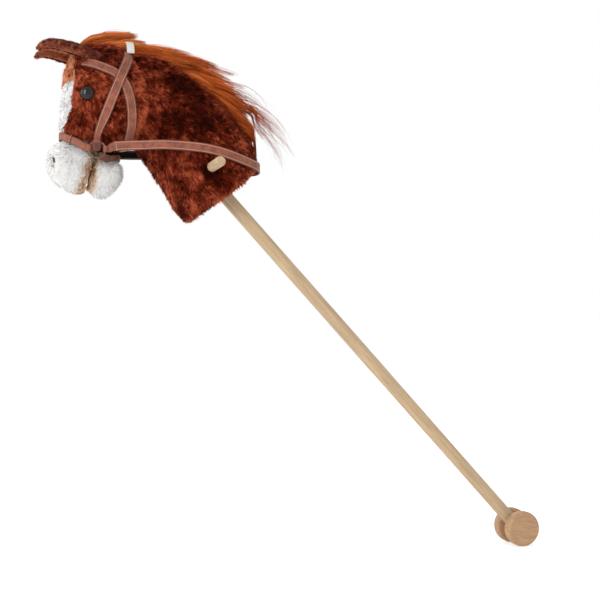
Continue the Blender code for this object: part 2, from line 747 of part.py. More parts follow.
def through(points, steps=12, closed=False):
    """Smooth curve through points of any number of values, evenly sampled later."""
    rows = [np.array(p, dtype=float) for p in points]
    count = len(rows)
    out = []
    last = count if closed else count - 1
    for i in range(last):
        p1 = rows[i]
        p2 = rows[(i + 1) % count]
        p0 = rows[(i - 1) % count] if closed or i > 0 else 2 * p1 - p2
        p3 = rows[(i + 2) % count] if closed or i + 2 < count else 2 * p2 - p1
        for k in range(steps):
            t = k / steps
            blend = 2 * p1 + (p2 - p0) * t + (2 * p0 - 5 * p1 + 4 * p2 - p3) * t * t
            out.append(0.5 * (blend + (3 * p1 - p0 - 3 * p2 + p3) * t ** 3))
    if not closed:
        out.append(rows[-1])
    return np.array(out)


def evenly(curve, step, closed=False):
    """Points a steady distance apart on a curve."""
    walk = np.vstack([curve, curve[:1]]) if closed else curve
    lengths = np.concatenate([[0.0], np.cumsum(np.linalg.norm(np.diff(walk[:, :3], axis=0), axis=1))])
    count = max(4, round(lengths[-1] / step))
    marks = np.linspace(0.0, lengths[-1], count + 1)
    even = np.array([[np.interp(m, lengths, walk[:, k]) for k in range(walk.shape[1])] for m in marks])
    return even[:-1] if closed else even


def averaged(rows, closed, passes=1):
    """Running average along a strap."""
    for _ in range(passes):
        if closed:
            rows = (np.roll(rows, 1, axis=0) + 2 * rows + np.roll(rows, -1, axis=0)) / 4
        else:
            inner = (rows[:-2] + 2 * rows[1:-1] + rows[2:]) / 4
            rows = np.concatenate([rows[:1], inner, rows[-1:]])
    return rows


def unit(rows):
    """Rows scaled to length one."""
    return rows / np.linalg.norm(rows, axis=1, keepdims=True)


def nearest(skins, point):
    """Nearest place on any of the skins, and the way out there."""
    best = None
    for skin in skins:
        hit, normal, _, distance = skin.find_nearest(Vector(point))
        if best is None or distance < best[2]:
            best = (np.array(hit), np.array(normal), distance)
    return best[0], best[1]


def depth_in(skins, point):
    """Least height of a point over the skins, negative inside."""
    least = math.inf
    for skin in skins:
        hit, normal, _, _ = skin.find_nearest(Vector(point))
        least = min(least, float(np.dot(np.array(point) - np.array(hit), np.array(normal))))
    return least


def under_height(under, foot, out):
    """Height over a foot point of the straps that pass below."""
    height = 0.0
    reach = 0.012
    for skin in under:
        start = Vector(foot + out * reach)
        hit, _, _, distance = skin.ray_cast(start, Vector(-out), reach)
        if hit is not None:
            height = max(height, reach - distance)
    return height


def strap_mesh(
    name, controls, widths, thickness, skins, under=(), closed=False, step=0.009, rise=(0.0, 0.0)
):
    """Strap that lies on the skins. Controls are (x, y, z, hug), where hug 0 is free and 1 lies on the skin.

    widths and rise hold the width and the extra height from its start to its end.
    """
    rest = STRAP_REST
    path = evenly(through(controls, closed=closed), step, closed)
    points = path[:, :3].copy()
    hug = np.clip(path[:, 3], 0.0, 1.0)[:, None]
    count = len(points)
    outs = np.zeros((count, 3))
    for i in range(count):
        side = np.array((0.0, math.copysign(1.0, points[i, 1]), 0.0))
        if hug[i, 0] > 0.0:
            hit, normal = nearest(skins, points[i])
            points[i] = hit * hug[i, 0] + points[i] * (1 - hug[i, 0])
            outs[i] = normal * hug[i, 0] + side * (1 - hug[i, 0])
        else:
            outs[i] = side
    outs = unit(averaged(unit(outs), closed, 3))
    points = averaged(points, closed, 1)
    if closed:
        along = unit(np.roll(points, -1, axis=0) - np.roll(points, 1, axis=0))
    else:
        along = unit(np.gradient(points, axis=0))
    across = unit(np.cross(outs, along))
    outs = unit(np.cross(along, across))
    marks = np.linspace(0.0, 1.0, count)
    width = np.interp(marks, np.linspace(0.0, 1.0, len(widths)), widths)
    columns = (-0.5, 0.0, 0.5)
    heights = rest + np.interp(marks, np.linspace(0.0, 1.0, len(rise)), rise)
    feet = np.zeros((count, 3, 3))
    for i in range(count):
        for k, share in enumerate(columns):
            foot = points[i] + across[i] * width[i] * share
            if hug[i, 0] > 0.0:
                hit, _ = nearest(skins, foot)
                foot = hit * hug[i, 0] + foot * (1 - hug[i, 0])
            feet[i, k] = foot
            over = under_height(under, foot, outs[i])
            if over > 0.0:
                heights[i] = max(heights[i], over + rest + 2 * FIT)
    needed = heights.copy()
    for _ in range(2):
        spread = np.roll(heights, 1) if closed else np.concatenate([heights[:1], heights[:-1]])
        ahead = np.roll(heights, -1) if closed else np.concatenate([heights[1:], heights[-1:]])
        heights = np.maximum(heights, np.maximum(spread, ahead))
        heights = np.maximum(needed, averaged(heights[:, None], closed, 1)[:, 0])
    lift = heights[:, None] * hug - thickness / 2 * (1 - hug)
    inner = feet + outs[:, None, :] * lift[:, None, :]
    inner = averaged(inner.reshape(count, 9), closed, 1).reshape(count, 3, 3)
    for _ in range(4):
        for i in range(count):
            j = (i + 1) % count if closed else min(i + 1, count - 1)
            for k in range(3):
                m = min(k + 1, 2)
                for mate_row, mate_column in ((i, k), (j, k), (i, m), (j, m)):
                    middle = (inner[i, k] + inner[mate_row, mate_column]) / 2
                    short = rest - depth_in(skins, middle)
                    if short > 0.0:
                        inner[i, k] += outs[i] * short
                        if (mate_row, mate_column) != (i, k):
                            inner[mate_row, mate_column] += outs[mate_row] * short
    outer = inner + outs[:, None, :] * thickness
    bm = bmesh.new()
    loops = []
    for i in range(count):
        ring = [*inner[i], *outer[i][::-1]]
        loops.append([bm.verts.new(p) for p in ring])
    last = count if closed else count - 1
    for i in range(last):
        first = loops[i]
        second = loops[(i + 1) % count]
        for k in range(6):
            m = (k + 1) % 6
            bm.faces.new((first[k], first[m], second[m], second[k]))
    if not closed:
        bm.faces.new(loops[0][::-1])
        bm.faces.new(loops[-1])
    bmesh.ops.triangulate(bm, faces=bm.faces)
    return mesh_from(bm, name)


RING_SIDE = MUZZLE_HALF_WIDTH + RING_WIRE


def ring_point(sign, degrees, radius=RING_RADIUS):
    """Place on or off a ring's wire, by its angle in side view."""
    turn = math.radians(degrees)
    x = RING_AT[0] + radius * math.cos(turn)
    return x, sign * RING_SIDE, RING_AT[1] + radius * math.sin(turn)


def ring_torus(name, sign, grow, material=None):
    """The wire ring, or the room it takes."""
    bpy.ops.mesh.primitive_torus_add(
        major_segments=20,
        minor_segments=6,
        major_radius=RING_RADIUS,
        minor_radius=RING_WIRE / 2 + grow,
        location=(RING_AT[0], sign * RING_SIDE, RING_AT[1]),
        rotation=(math.radians(90), 0.0, 0.0),
    )
    torus = bpy.context.active_object
    mesh = settled_mesh(torus)
    bpy.data.objects.remove(torus, do_unlink=True)
    return place(mesh, name, material, CUTTERS if material is None else PARTS)


def sleeve(name, sign, degrees):
    """Round end of a strap, folded round the ring's wire."""
    turn = math.radians(degrees)
    tangent = Vector((-math.sin(turn), 0.0, math.cos(turn)))
    frame = facing(tangent, Vector(ring_point(sign, degrees)))
    radius = RING_WIRE / 2 + FIT + STRAP_THICKNESS
    return cylinder(name, radius, LOOP_WIDTH, frame, sides=12)


def looped(piece, sides, degrees, rooms):
    """Join a strap to its sleeves at one angle of the rings, then let the wire through."""
    for side in sides:
        boolean(piece, "UNION", sleeve(f"{piece.name}_sleeve_{side}", sign_of(side), degrees))
    for side in sides:
        cut(piece, rooms[side])
    return piece


def strap_frame(mesh, near):
    """Straight stretch of a strap next to a place: its frame, and its half width and half height there."""
    points = [v.co for v in mesh.vertices]
    stretches = [sum(points[i:i + 12], Vector()) / 12 for i in range(0, len(points) - 6, 6)]
    k = 6 * min(range(len(stretches)), key=lambda i: (stretches[i] - Vector(near)).length)
    along = (sum(points[k + 6:k + 12], Vector()) - sum(points[k:k + 6], Vector())).normalized()
    across = points[k + 2] - points[k] + points[k + 8] - points[k + 6]
    across = (across - along * across.dot(along)).normalized()
    frame = Matrix((along, across, along.cross(across))).transposed().to_4x4()
    frame.translation = stretches[k // 6]
    local = [frame.inverted() @ p for p in points[k:k + 12]]
    return frame, max(abs(p.y) for p in local), max(abs(p.z) for p in local)


def keeper(name, mesh, near):
    """Metal loop round a strap. Returns the room that it takes."""
    frame, wide, high = strap_frame(mesh, near)
    hole = Vector((KEEPER_LENGTH, wide + FIT, high + FIT))
    half = Vector((KEEPER_LENGTH / 2, wide + FIT + KEEPER_WIRE, high + FIT + KEEPER_WIRE))
    grown = half + Vector((FIT, FIT, FIT))
    loop = block(name, -half, half, frame)
    mesh = loop.data
    bpy.data.objects.remove(loop, do_unlink=True)
    cut(place(mesh, name, DARK_METAL), block(name + "_hole", -hole, hole, frame))
    return block(name + "_room", -grown, grown, frame)


CHEEK_ANGLE = 92
NOSE_ANGLE = 172
CHIN_ANGLE = -54
REIN_ANGLE = 6


def both_ways(half):
    """A strap's path from one side over the middle to the other. The half path ends in the middle."""
    near = [(x, -y, z, hug) for x, y, z, hug in half]
    far = [(x, y, z, hug) for x, y, z, hug in half[:-1]]
    return near + far[::-1]


def ring_to_ring(degrees, lead, half):
    """A strap's path from one ring round to the other."""
    near = [(*ring_point(1.0, degrees, RING_RADIUS * reach), 0.0) for reach in (1.0, lead)]
    return both_ways((*near, *half))


def bridle(rooms):
    """Straps of the bridle. Returns the skins that the rein and the mane must clear."""
    loop = both_ways(BROW_THROAT_PATH)[:-1]
    widths = (STRAP_WIDTH, STRAP_WIDTH)
    brow = strap_mesh("brow_throat_strap", loop, widths, STRAP_THICKNESS, [HEAD_SKIN], closed=True)
    place(brow, "brow_throat_strap", STRAP_BROWN)
    brow_skin = skin_of(brow)

    strip_path = [(x, 0.0, z, 1.0) for x, z in MANE_STRIP_PATH]
    strip_widths = (MANE_STRIP_WIDTH, MANE_STRIP_WIDTH)
    skins = [HEAD_SKIN, NECK_SKIN]
    strip = strap_mesh("mane_strip", strip_path, strip_widths, MANE_STRIP_THICKNESS, skins, step=0.013)
    place(strip, "mane_strip", TAPE)

    cheek_skins = []
    for side in SIDES:
        sign = sign_of(side)
        path = [(x, sign * y, z, hug) for x, y, z, hug in CHEEK_PATH]
        path.append((*ring_point(sign, CHEEK_ANGLE, RING_RADIUS * 1.75), 0.0))
        path.append((*ring_point(sign, CHEEK_ANGLE), 0.0))
        name = "cheek_strap_" + side
        widths = (STRAP_WIDTH, STRAP_WIDTH, STRAP_WIDTH, LOOP_WIDTH)
        mesh = strap_mesh(name, path, widths, STRAP_THICKNESS, [HEAD_SKIN], [brow_skin])
        cheek_skins.append(skin_of(mesh))
        looped(place(mesh, name, STRAP_BROWN), [side], CHEEK_ANGLE, rooms)

    poll = both_ways(POLL_PATH)
    poll_widths = (POLL_LOOP_WIDTH, POLL_LOOP_WIDTH)
    poll_rise = (0.0, 0.6 * POLL_LOOP_RISE, POLL_LOOP_RISE, 0.6 * POLL_LOOP_RISE, 0.0)
    poll_mesh = strap_mesh("poll_loop", poll, poll_widths, MANE_STRIP_THICKNESS, skins, (), rise=poll_rise)
    place(poll_mesh, "poll_loop", WEBBING)

    nose_path = ring_to_ring(NOSE_ANGLE, 1.6, NOSE_PATH)
    widths = (LOOP_WIDTH, NOSEBAND_WIDTH, NOSEBAND_WIDTH, NOSEBAND_WIDTH, LOOP_WIDTH)
    skins = [HEAD_SKIN, MUZZLE_SKIN]
    nose_mesh = strap_mesh("noseband", nose_path, widths, STRAP_THICKNESS, skins, step=0.006)
    noseband = place(nose_mesh, "noseband", STRAP_BROWN)
    looped(noseband, SIDES, NOSE_ANGLE, rooms)
    for side in SIDES:
        near = (KEEPER_AT[0], sign_of(side) * KEEPER_SIDE, KEEPER_AT[1])
        room = keeper("noseband_keeper_" + side, nose_mesh, near)
        cut(bpy.data.objects["muzzle"], room)
        cut(bpy.data.objects["head_side_" + side], room)
        cut(bpy.data.objects["blaze_panel"], room)

    chin_path = ring_to_ring(CHIN_ANGLE, 1.5, CHIN_PATH)
    widths = (LOOP_WIDTH, CHIN_STRAP_WIDTH, LOOP_WIDTH)
    chin_mesh = strap_mesh("chin_strap", chin_path, widths, STRAP_THICKNESS, [JAW_SKIN], step=0.006)
    chin_strap = place(chin_mesh, "chin_strap", STRAP_BROWN)
    looped(chin_strap, SIDES, CHIN_ANGLE, rooms)
    return brow, strip, poll_mesh


def polar(point):
    """Distance from the rein's pivot line, and angle over the horizontal."""
    x = point[0] - RING_AT[0]
    z = point[2] - RING_AT[1]
    return math.hypot(x, z), math.atan2(z, x)


# Side view of the rein's middle line, from its tab to the back of the neck
REIN_LINE = (
    (-0.1240, 0.0235),
    (-0.0970, 0.0250),
    (-0.0650, 0.0270),
    (-0.0390, 0.0260),
    (-0.0040, 0.0225),
    (0.0230, 0.0165),
    (0.0480, 0.0090),
    (0.0720, 0.0050),
)


def rein_angle(radius):
    """Angle of the resting rein at a distance from the pivot line."""
    places = [polar((x, 0.0, z)) for x, z in REIN_LINE]
    return float(np.interp(radius, [r for r, _ in places], [turn for _, turn in places]))


def swept_points(meshes):
    """Places of the horse that the rein passes while it lifts: radius and side distance."""
    margin = 0.004
    found = []
    for mesh in meshes:
        points = [v.co.copy() for v in mesh.vertices]
        points += [(points[e.vertices[0]] + points[e.vertices[1]]) / 2 for e in mesh.edges]
        points += [p.center.copy() for p in mesh.polygons]
        for point in points:
            radius, turn = polar(point)
            around = (STRAP_WIDTH / 2 + margin) / radius
            rest = rein_angle(radius)
            if rest - around < turn < rest + REIN_LIFT + around:
                found.append((radius, abs(point.y)))
    return found


def upper_hull(points):
    """Upper outline of a cloud of points, from its first place to its last."""
    hull = []
    for point in sorted(points):
        while len(hull) > 1:
            (x1, y1), (x2, y2) = hull[-2], hull[-1]
            if (x2 - x1) * (point[1] - y1) - (y2 - y1) * (point[0] - x1) < 0:
                break
            hull.pop()
        hull.append(point)
    return hull


def rein_path(meshes):
    """Middle line of one side of the rein, just clear of everything that it passes."""
    start = polar((REIN_LINE[0][0], 0.0, REIN_LINE[0][1]))[0]
    points = [(start, RING_SIDE)] + [p for p in swept_points(meshes) if p[0] > start]
    reach = max(r for r, _ in points)
    hull = np.array(upper_hull(points + [(reach, 0.0)]))
    mirror = hull[:-1][::-1] * (1.0, -1.0)
    outline = evenly(np.vstack([hull, mirror]), 0.004)
    outline = averaged(outline, False, 6)
    along = unit(np.gradient(outline, axis=0))
    out = np.stack([-along[:, 1], along[:, 0]], axis=1)
    outline = outline + out * (STRAP_THICKNESS / 2 + REIN_CLEARANCE + 0.0006)
    side = outline[outline[:, 1] > 0.001]
    back = outline[np.argmin(np.abs(outline[:, 1]))][0]
    side = np.vstack([side, [(back, 0.0)]])
    line = []
    for radius, y in side:
        turn = rein_angle(radius)
        line.append((RING_AT[0] + radius * math.cos(turn), y, RING_AT[1] + radius * math.sin(turn)))
    return np.array(line)


def rein(rooms, meshes):
    """Rein and its tabs, which swing together on the rings."""
    half = evenly(rein_path(meshes), REIN_STEP)
    across = np.array((1.0, -1.0, 1.0))
    line = averaged(np.vstack([half * across, half[:-1][::-1]]), False, 1)
    place(rein_ribbon("rein", line, STRAP_WIDTH), "rein", STRAP_BROWN)
    lap = STRAP_THICKNESS + FIT
    ahead = half[1] - half[0]
    ahead /= np.linalg.norm(ahead)
    inward = np.array((-ahead[1], ahead[0], 0.0)) * -lap
    for side in SIDES:
        sign = sign_of(side)
        turn = np.array((1.0, sign, 1.0))
        path = [
            ring_point(sign, REIN_ANGLE),
            ring_point(sign, REIN_ANGLE, RING_RADIUS * 1.5),
            (half[0] + inward) * turn,
            (half[0] + inward + ahead * REIN_LAP) * turn,
        ]
        name = "rein_tab_" + side
        mesh = rein_ribbon(name, evenly(through(path), 0.004), STRAP_WIDTH * 0.92, LOOP_WIDTH)
        looped(place(mesh, name, STRAP_BROWN), [side], REIN_ANGLE, rooms)


def rein_ribbon(name, points, width, start_width=None):
    """Upright ribbon along a line, its middle on the line."""
    count = len(points)
    along = unit(np.gradient(points, axis=0))
    up = np.tile(np.array((0.0, 0.0, 1.0)), (count, 1))
    outs = unit(np.cross(along, up))
    rises = unit(np.cross(outs, along))
    bm = bmesh.new()
    loops = []
    for i in range(count):
        wide = width
        if start_width is not None:
            wide = start_width + (width - start_width) * min(1.0, i / (count * 0.45))
        rise = rises[i] * wide / 2
        out = outs[i] * STRAP_THICKNESS / 2
        low = points[i] - rise
        high = points[i] + rise
        corners = (low - out, low + out, high + out, high - out)
        loops.append([bm.verts.new(c) for c in corners])
    for first, second in zip(loops, loops[1:]):
        for k in range(4):
            m = (k + 1) % 4
            bm.faces.new((first[k], first[m], second[m], second[k]))
    bm.faces.new(loops[0][::-1])
    bm.faces.new(loops[-1])
    bmesh.ops.triangulate(bm, faces=bm.faces)
    return mesh_from(bm, name)


def mane(meshes, clear_of):
    """Long hair on its strip, parted where the rein lifts."""
    bm = bmesh.new()
    loops = []
    for root, tip in MANE_LOCKS:
        low = side_point(root)
        high = side_point(tip)
        ring = []
        for share, half in MANE_PROFILE:
            ring.append(low + (high - low) * share - Vector((0.0, MANE_HALF * half, 0.0)))
        for share, half in MANE_PROFILE[::-1]:
            ring.append(low + (high - low) * share + Vector((0.0, MANE_HALF * half, 0.0)))
        loops.append([bm.verts.new(p) for p in ring])
    sides = 2 * len(MANE_PROFILE)
    for first, second in zip(loops, loops[1:]):
        for k in range(sides):
            m = (k + 1) % sides
            bm.faces.new((first[k], first[m], second[m], second[k]))
    bm.faces.new(loops[0][::-1])
    bm.faces.new(loops[-1])
    bmesh.ops.triangulate(bm, faces=bm.faces)
    hair = place(mesh_from(bm, "mane_hair"), "mane_hair", HAIR)
    reach = max(r for r, _ in swept_points(meshes))
    inner = reach - REIN_CLEARANCE
    outer = reach + 2 * REIN_CLEARANCE + STRAP_THICKNESS
    steps = 10
    half = STRAP_WIDTH / 2 / reach
    low = rein_angle(reach) - 2 * half
    high = rein_angle(reach) + REIN_LIFT + half + REIN_CLEARANCE / reach
    arc = [low + (high - low) * i / steps for i in range(steps + 1)]
    outline = [(RING_AT[0] + outer * math.cos(a), RING_AT[1] + outer * math.sin(a)) for a in arc]
    outline += [(RING_AT[0] + inner * math.cos(a), RING_AT[1] + inner * math.sin(a)) for a in arc[::-1]]
    cut(hair, HEAD_ROOM, NECK_ROOM, prism("rein_way", outline, MANE_HALF * 2))
    for mesh in clear_of:
        room = mesh.copy()
        name = mesh.name + "_room"
        cut(hair, cutter(offset_mesh(room, FIT, name), name))
    return hair


def build():
    """Make the hobby horse."""
    wood()
    eye_rooms = eyes()
    neck()
    head(eye_rooms)
    mouth()
    rooms = {}
    for side in SIDES:
        ring_torus("ring_" + side, sign_of(side), 0.0, DARK_METAL)
        rooms[side] = ring_torus("ring_room_" + side, sign_of(side), FIT)
    brow, strip, poll = bridle(rooms)
    brow_room = cutter(offset_mesh(brow, FIT, "brow_room"), "brow_room")
    ears([brow_room])
    rein(rooms, [NECK, HEAD, brow])
    mane([NECK], [strip, poll])
    bpy.context.view_layer.update()


build()
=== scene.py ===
import json
import math

import bmesh
import bpy
import numpy as np
from mathutils import Matrix, Vector
from mathutils.bvhtree import BVHTree

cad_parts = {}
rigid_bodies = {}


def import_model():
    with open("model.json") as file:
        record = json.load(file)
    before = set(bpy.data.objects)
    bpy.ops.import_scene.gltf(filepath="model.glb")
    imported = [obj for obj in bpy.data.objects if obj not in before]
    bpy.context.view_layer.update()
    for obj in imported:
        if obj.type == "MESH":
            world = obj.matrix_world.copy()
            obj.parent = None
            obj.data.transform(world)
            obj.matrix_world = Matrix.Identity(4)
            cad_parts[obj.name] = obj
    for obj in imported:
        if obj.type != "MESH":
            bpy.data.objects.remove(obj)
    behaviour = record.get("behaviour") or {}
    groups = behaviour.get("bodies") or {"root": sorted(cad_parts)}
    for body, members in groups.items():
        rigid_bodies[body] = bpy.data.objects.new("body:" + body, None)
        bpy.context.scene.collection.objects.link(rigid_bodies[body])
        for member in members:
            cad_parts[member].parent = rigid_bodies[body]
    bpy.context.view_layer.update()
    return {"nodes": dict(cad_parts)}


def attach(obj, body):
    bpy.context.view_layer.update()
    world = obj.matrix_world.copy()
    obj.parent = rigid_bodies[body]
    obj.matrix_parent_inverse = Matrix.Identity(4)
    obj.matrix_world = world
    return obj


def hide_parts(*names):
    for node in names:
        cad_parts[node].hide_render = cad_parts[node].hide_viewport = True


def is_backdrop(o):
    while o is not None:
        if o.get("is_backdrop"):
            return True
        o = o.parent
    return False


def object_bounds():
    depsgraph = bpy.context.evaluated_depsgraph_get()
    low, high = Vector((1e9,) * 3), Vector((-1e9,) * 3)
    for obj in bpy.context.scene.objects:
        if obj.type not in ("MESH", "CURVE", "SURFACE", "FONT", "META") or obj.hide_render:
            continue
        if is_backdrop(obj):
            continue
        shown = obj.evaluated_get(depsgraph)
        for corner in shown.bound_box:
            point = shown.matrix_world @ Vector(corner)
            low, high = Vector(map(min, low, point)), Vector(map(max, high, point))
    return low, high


bl_info = {
    "name": "Hobby horse",
    "version": (1, 0, 0),
    "blender": (4, 5, 0),
    "location": "3D View > Sidebar > Hobby horse",
    "description": "Dresses a stick horse: plush head, long mane, bridle, reins and wooden wheels",
    "category": "Add Mesh",
}

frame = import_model()

# Stick and wheels, in metres
STICK_LEAN = math.radians(42.7)
DOWN_STICK = Vector((math.sin(STICK_LEAN), 0.0, -math.cos(STICK_LEAN)))
STICK_TURN = Matrix.Rotation(math.pi - STICK_LEAN, 4, "Y")
LYING = Matrix.Rotation(math.radians(90), 4, "X")
GRIP_TO_AXLE = 0.663
STICK_ABOVE_GRIP = 0.150
STICK_BELOW_AXLE = 0.015
STICK_DIAMETER = 0.018
BAR_DIAMETER = 0.013
BAR_LENGTH = 0.220
AXLE_DIAMETER = 0.008
AXLE_SEAT = 0.010
WHEEL_DIAMETER = 0.0485
WHEEL_WIDTH = 0.016
WHEEL_PLAY = 0.0006
# Room left between a piece and what it goes round or lies on
FIT = 0.0003
AXLE_AT = DOWN_STICK * GRIP_TO_AXLE

# Plush forms, as in the solids: rings from nose to tail, two side-view points and a share of the half width
NECK_HALF_WIDTH = 0.057
HEAD_HALF_WIDTH = 0.0535
MUZZLE_HALF_WIDTH = 0.036
JAW_HALF_WIDTH = 0.030
RING_SIDES = 10
NECK_RINGS = (
    ((0.0127, -0.0904), (0.0730, -0.0290), 0.70),
    ((-0.0130, -0.0773), (0.0712, 0.0030), 0.88),
    ((-0.0315, -0.0632), (0.0700, 0.0310), 0.96),
    ((-0.0448, -0.0414), (0.0567, 0.0515), 1.00),
    ((-0.0600, -0.0146), (0.0370, 0.0749), 0.98),
    ((-0.0788, 0.0117), (0.0145, 0.0978), 0.94),
    ((-0.0978, 0.0322), (-0.0074, 0.1156), 0.88),
    ((-0.1145, 0.0577), (-0.0336, 0.1323), 0.79),
    ((-0.1296, 0.0844), (-0.0620, 0.1475), 0.67),
    ((-0.1314, 0.1128), (-0.0870, 0.1545), 0.40),
)
HEAD_RINGS = (
    ((-0.1910, 0.0540), (-0.1840, 0.1120), 0.38),
    ((-0.1890, 0.0400), (-0.1815, 0.1310), 0.57),
    ((-0.1780, 0.0310), (-0.1735, 0.1500), 0.71),
    ((-0.1550, 0.0250), (-0.1560, 0.1620), 0.86),
    ((-0.1280, 0.0220), (-0.1300, 0.1620), 0.96),
    ((-0.1020, 0.0240), (-0.1030, 0.1570), 1.00),
    ((-0.0840, 0.0360), (-0.0840, 0.1300), 0.94),
    ((-0.0740, 0.0540), (-0.0750, 0.1020), 0.76),
    ((-0.0690, 0.0680), (-0.0690, 0.0840), 0.42),
)
MUZZLE_RINGS = (
    ((-0.2030, -0.0060), (-0.2030, 0.0140), 0.34),
    ((-0.1960, -0.0170), (-0.1990, 0.0260), 0.72),
    ((-0.1820, -0.0290), (-0.1870, 0.0340), 0.95),
    ((-0.1660, -0.0360), (-0.1700, 0.0380), 1.00),
    ((-0.1560, -0.0330), (-0.1545, 0.0360), 0.96),
    ((-0.1490, -0.0220), (-0.1430, 0.0310), 0.84),
    ((-0.1440, -0.0080), (-0.1375, 0.0200), 0.48),
)
JAW_RINGS = (
    ((-0.1590, -0.0230), (-0.1510, 0.0080), 0.48),
    ((-0.1500, -0.0340), (-0.1450, 0.0270), 0.82),
    ((-0.1350, -0.0410), (-0.1370, 0.0240), 1.00),
    ((-0.1220, -0.0340), (-0.1240, 0.0150), 1.00),
    ((-0.1120, -0.0220), (-0.1130, 0.0090), 0.77),
    ((-0.1080, -0.0100), (-0.1080, 0.0020), 0.34),
)
BASE_TILT = math.radians(37.0)
BASE_OUT = Vector((math.sin(BASE_TILT), 0.0, -math.cos(BASE_TILT)))
BASE_AT = DOWN_STICK * 0.0392
MOUTH_TOP = (-0.1425, 0.0260)
MOUTH_BOTTOM = (-0.1600, -0.0450)
MOUTH_TOP_GAP = 0.0034
MOUTH_BOTTOM_GAP = 0.0070
BLAZE_TOP = 0.107
# Seam between the head's sides and its front gusset, in side view
GUSSET_SEAM = (
    (-0.1850, 0.0000),
    (-0.1843, 0.0420),
    (-0.1832, 0.0500),
    (-0.1800, 0.0610),
    (-0.1772, 0.0710),
    (-0.1752, 0.0870),
    (-0.1742, 0.1000),
    (-0.1727, 0.1120),
    (-0.1712, 0.1250),
    (-0.1690, 0.1600),
)
EYE_AT = (-0.1570, 0.0890)
EYE_DIAMETER = 0.0175
EYE_HEIGHT = 0.0050

# Ear axis, as (x, z, share of the radius)
EAR_AXIS = (
    (-0.1400, 0.1330, 0.90),
    (-0.1550, 0.1390, 1.00),
    (-0.1690, 0.1440, 1.00),
    (-0.1830, 0.1475, 0.95),
    (-0.1960, 0.1502, 0.87),
    (-0.2060, 0.1502, 0.73),
    (-0.2128, 0.1476, 0.50),
    (-0.2168, 0.1444, 0.24),
)
EAR_ROOT_SIDE = 0.0320
EAR_TIP_SIDE = 0.0240
EAR_RADIUS = 0.0095

# Bridle
STRAP_WIDTH = 0.0125
STRAP_THICKNESS = 0.0018
NOSEBAND_WIDTH = 0.0100
CHIN_STRAP_WIDTH = 0.0090
LOOP_WIDTH = 0.0080
RING_AT = (-0.1445, 0.0190)
RING_RADIUS = 0.0105
RING_WIRE = 0.0024
RING_SIDE = MUZZLE_HALF_WIDTH + RING_WIRE
REIN_ANGLE = 6
REIN_LAP = 0.0160
CHEEK_ANGLE = 92
NOSE_ANGLE = 172
CHIN_ANGLE = -54
# Half paths of the straps, from the side to the middle, as (x, side, z, hug); hug 1 lies on the plush
BROW_THROAT_PATH = (
    (-0.1800, 0.0000, 0.1380, 1.0),
    (-0.1740, 0.0270, 0.1360, 1.0),
    (-0.1610, 0.0380, 0.1320, 1.0),
    (-0.1480, 0.0440, 0.1275, 1.0),
    (-0.1340, 0.0480, 0.1215, 1.0),
    (-0.1210, 0.0480, 0.1150, 1.0),
    (-0.1110, 0.0500, 0.1020, 1.0),
    (-0.1045, 0.0520, 0.0830, 1.0),
    (-0.1010, 0.0510, 0.0570, 1.0),
    (-0.1005, 0.0420, 0.0370, 1.0),
    (-0.1035, 0.0230, 0.0240, 1.0),
    (-0.1050, 0.0000, 0.0205, 1.0),
)
CHEEK_PATH = (
    (-0.1035, 0.0260, 0.1470, 1.0),
    (-0.1060, 0.0360, 0.1350, 1.0),
    (-0.1150, 0.0490, 0.1130, 1.0),
    (-0.1250, 0.0500, 0.0880, 1.0),
    (-0.1360, 0.0470, 0.0600, 1.0),
    (-0.1420, 0.0430, 0.0440, 0.6),
)
POLL_X = -0.1025
NOSE_PATH = (
    (-0.1680, 0.0370, 0.0275, 0.7),
    (-0.1780, 0.0300, 0.0315, 1.0),
    (-0.1855, 0.0170, 0.0370, 1.0),
    (-0.1885, 0.0000, 0.0395, 1.0),
)
CHIN_PATH = (
    (-0.1285, 0.0340, 0.0085, 0.0),
    (-0.1180, 0.0270, 0.0110, 0.5),
    (-0.1120, 0.0000, 0.0130, 1.0),
)
# One side of the rein's middle line, from the ring's tab to behind the neck
REIN_SIDE = (
    (-0.1244, 0.0413, 0.0234),
    (-0.1080, 0.0438, 0.0250),
    (-0.0915, 0.0464, 0.0255),
    (-0.0750, 0.0490, 0.0265),
    (-0.0585, 0.0516, 0.0269),
    (-0.0420, 0.0541, 0.0262),
    (-0.0255, 0.0567, 0.0250),
    (-0.0089, 0.0586, 0.0232),
    (0.0075, 0.0585, 0.0202),
    (0.0236, 0.0563, 0.0163),
    (0.0390, 0.0516, 0.0119),
    (0.0532, 0.0437, 0.0082),
    (0.0644, 0.0315, 0.0063),
    (0.0716, 0.0165, 0.0051),
    (0.0739, 0.0, 0.0049),
)
# Room that the rein sweeps behind the neck when it is lifted, in degrees about the rings
REIN_SWEEP = (-6.5, 15.5)
# Distances from the rings where the hair's ends stop inside the rein, and where they count as outside it
HAIR_INSIDE = 0.2148
HAIR_OUTSIDE = 0.2275

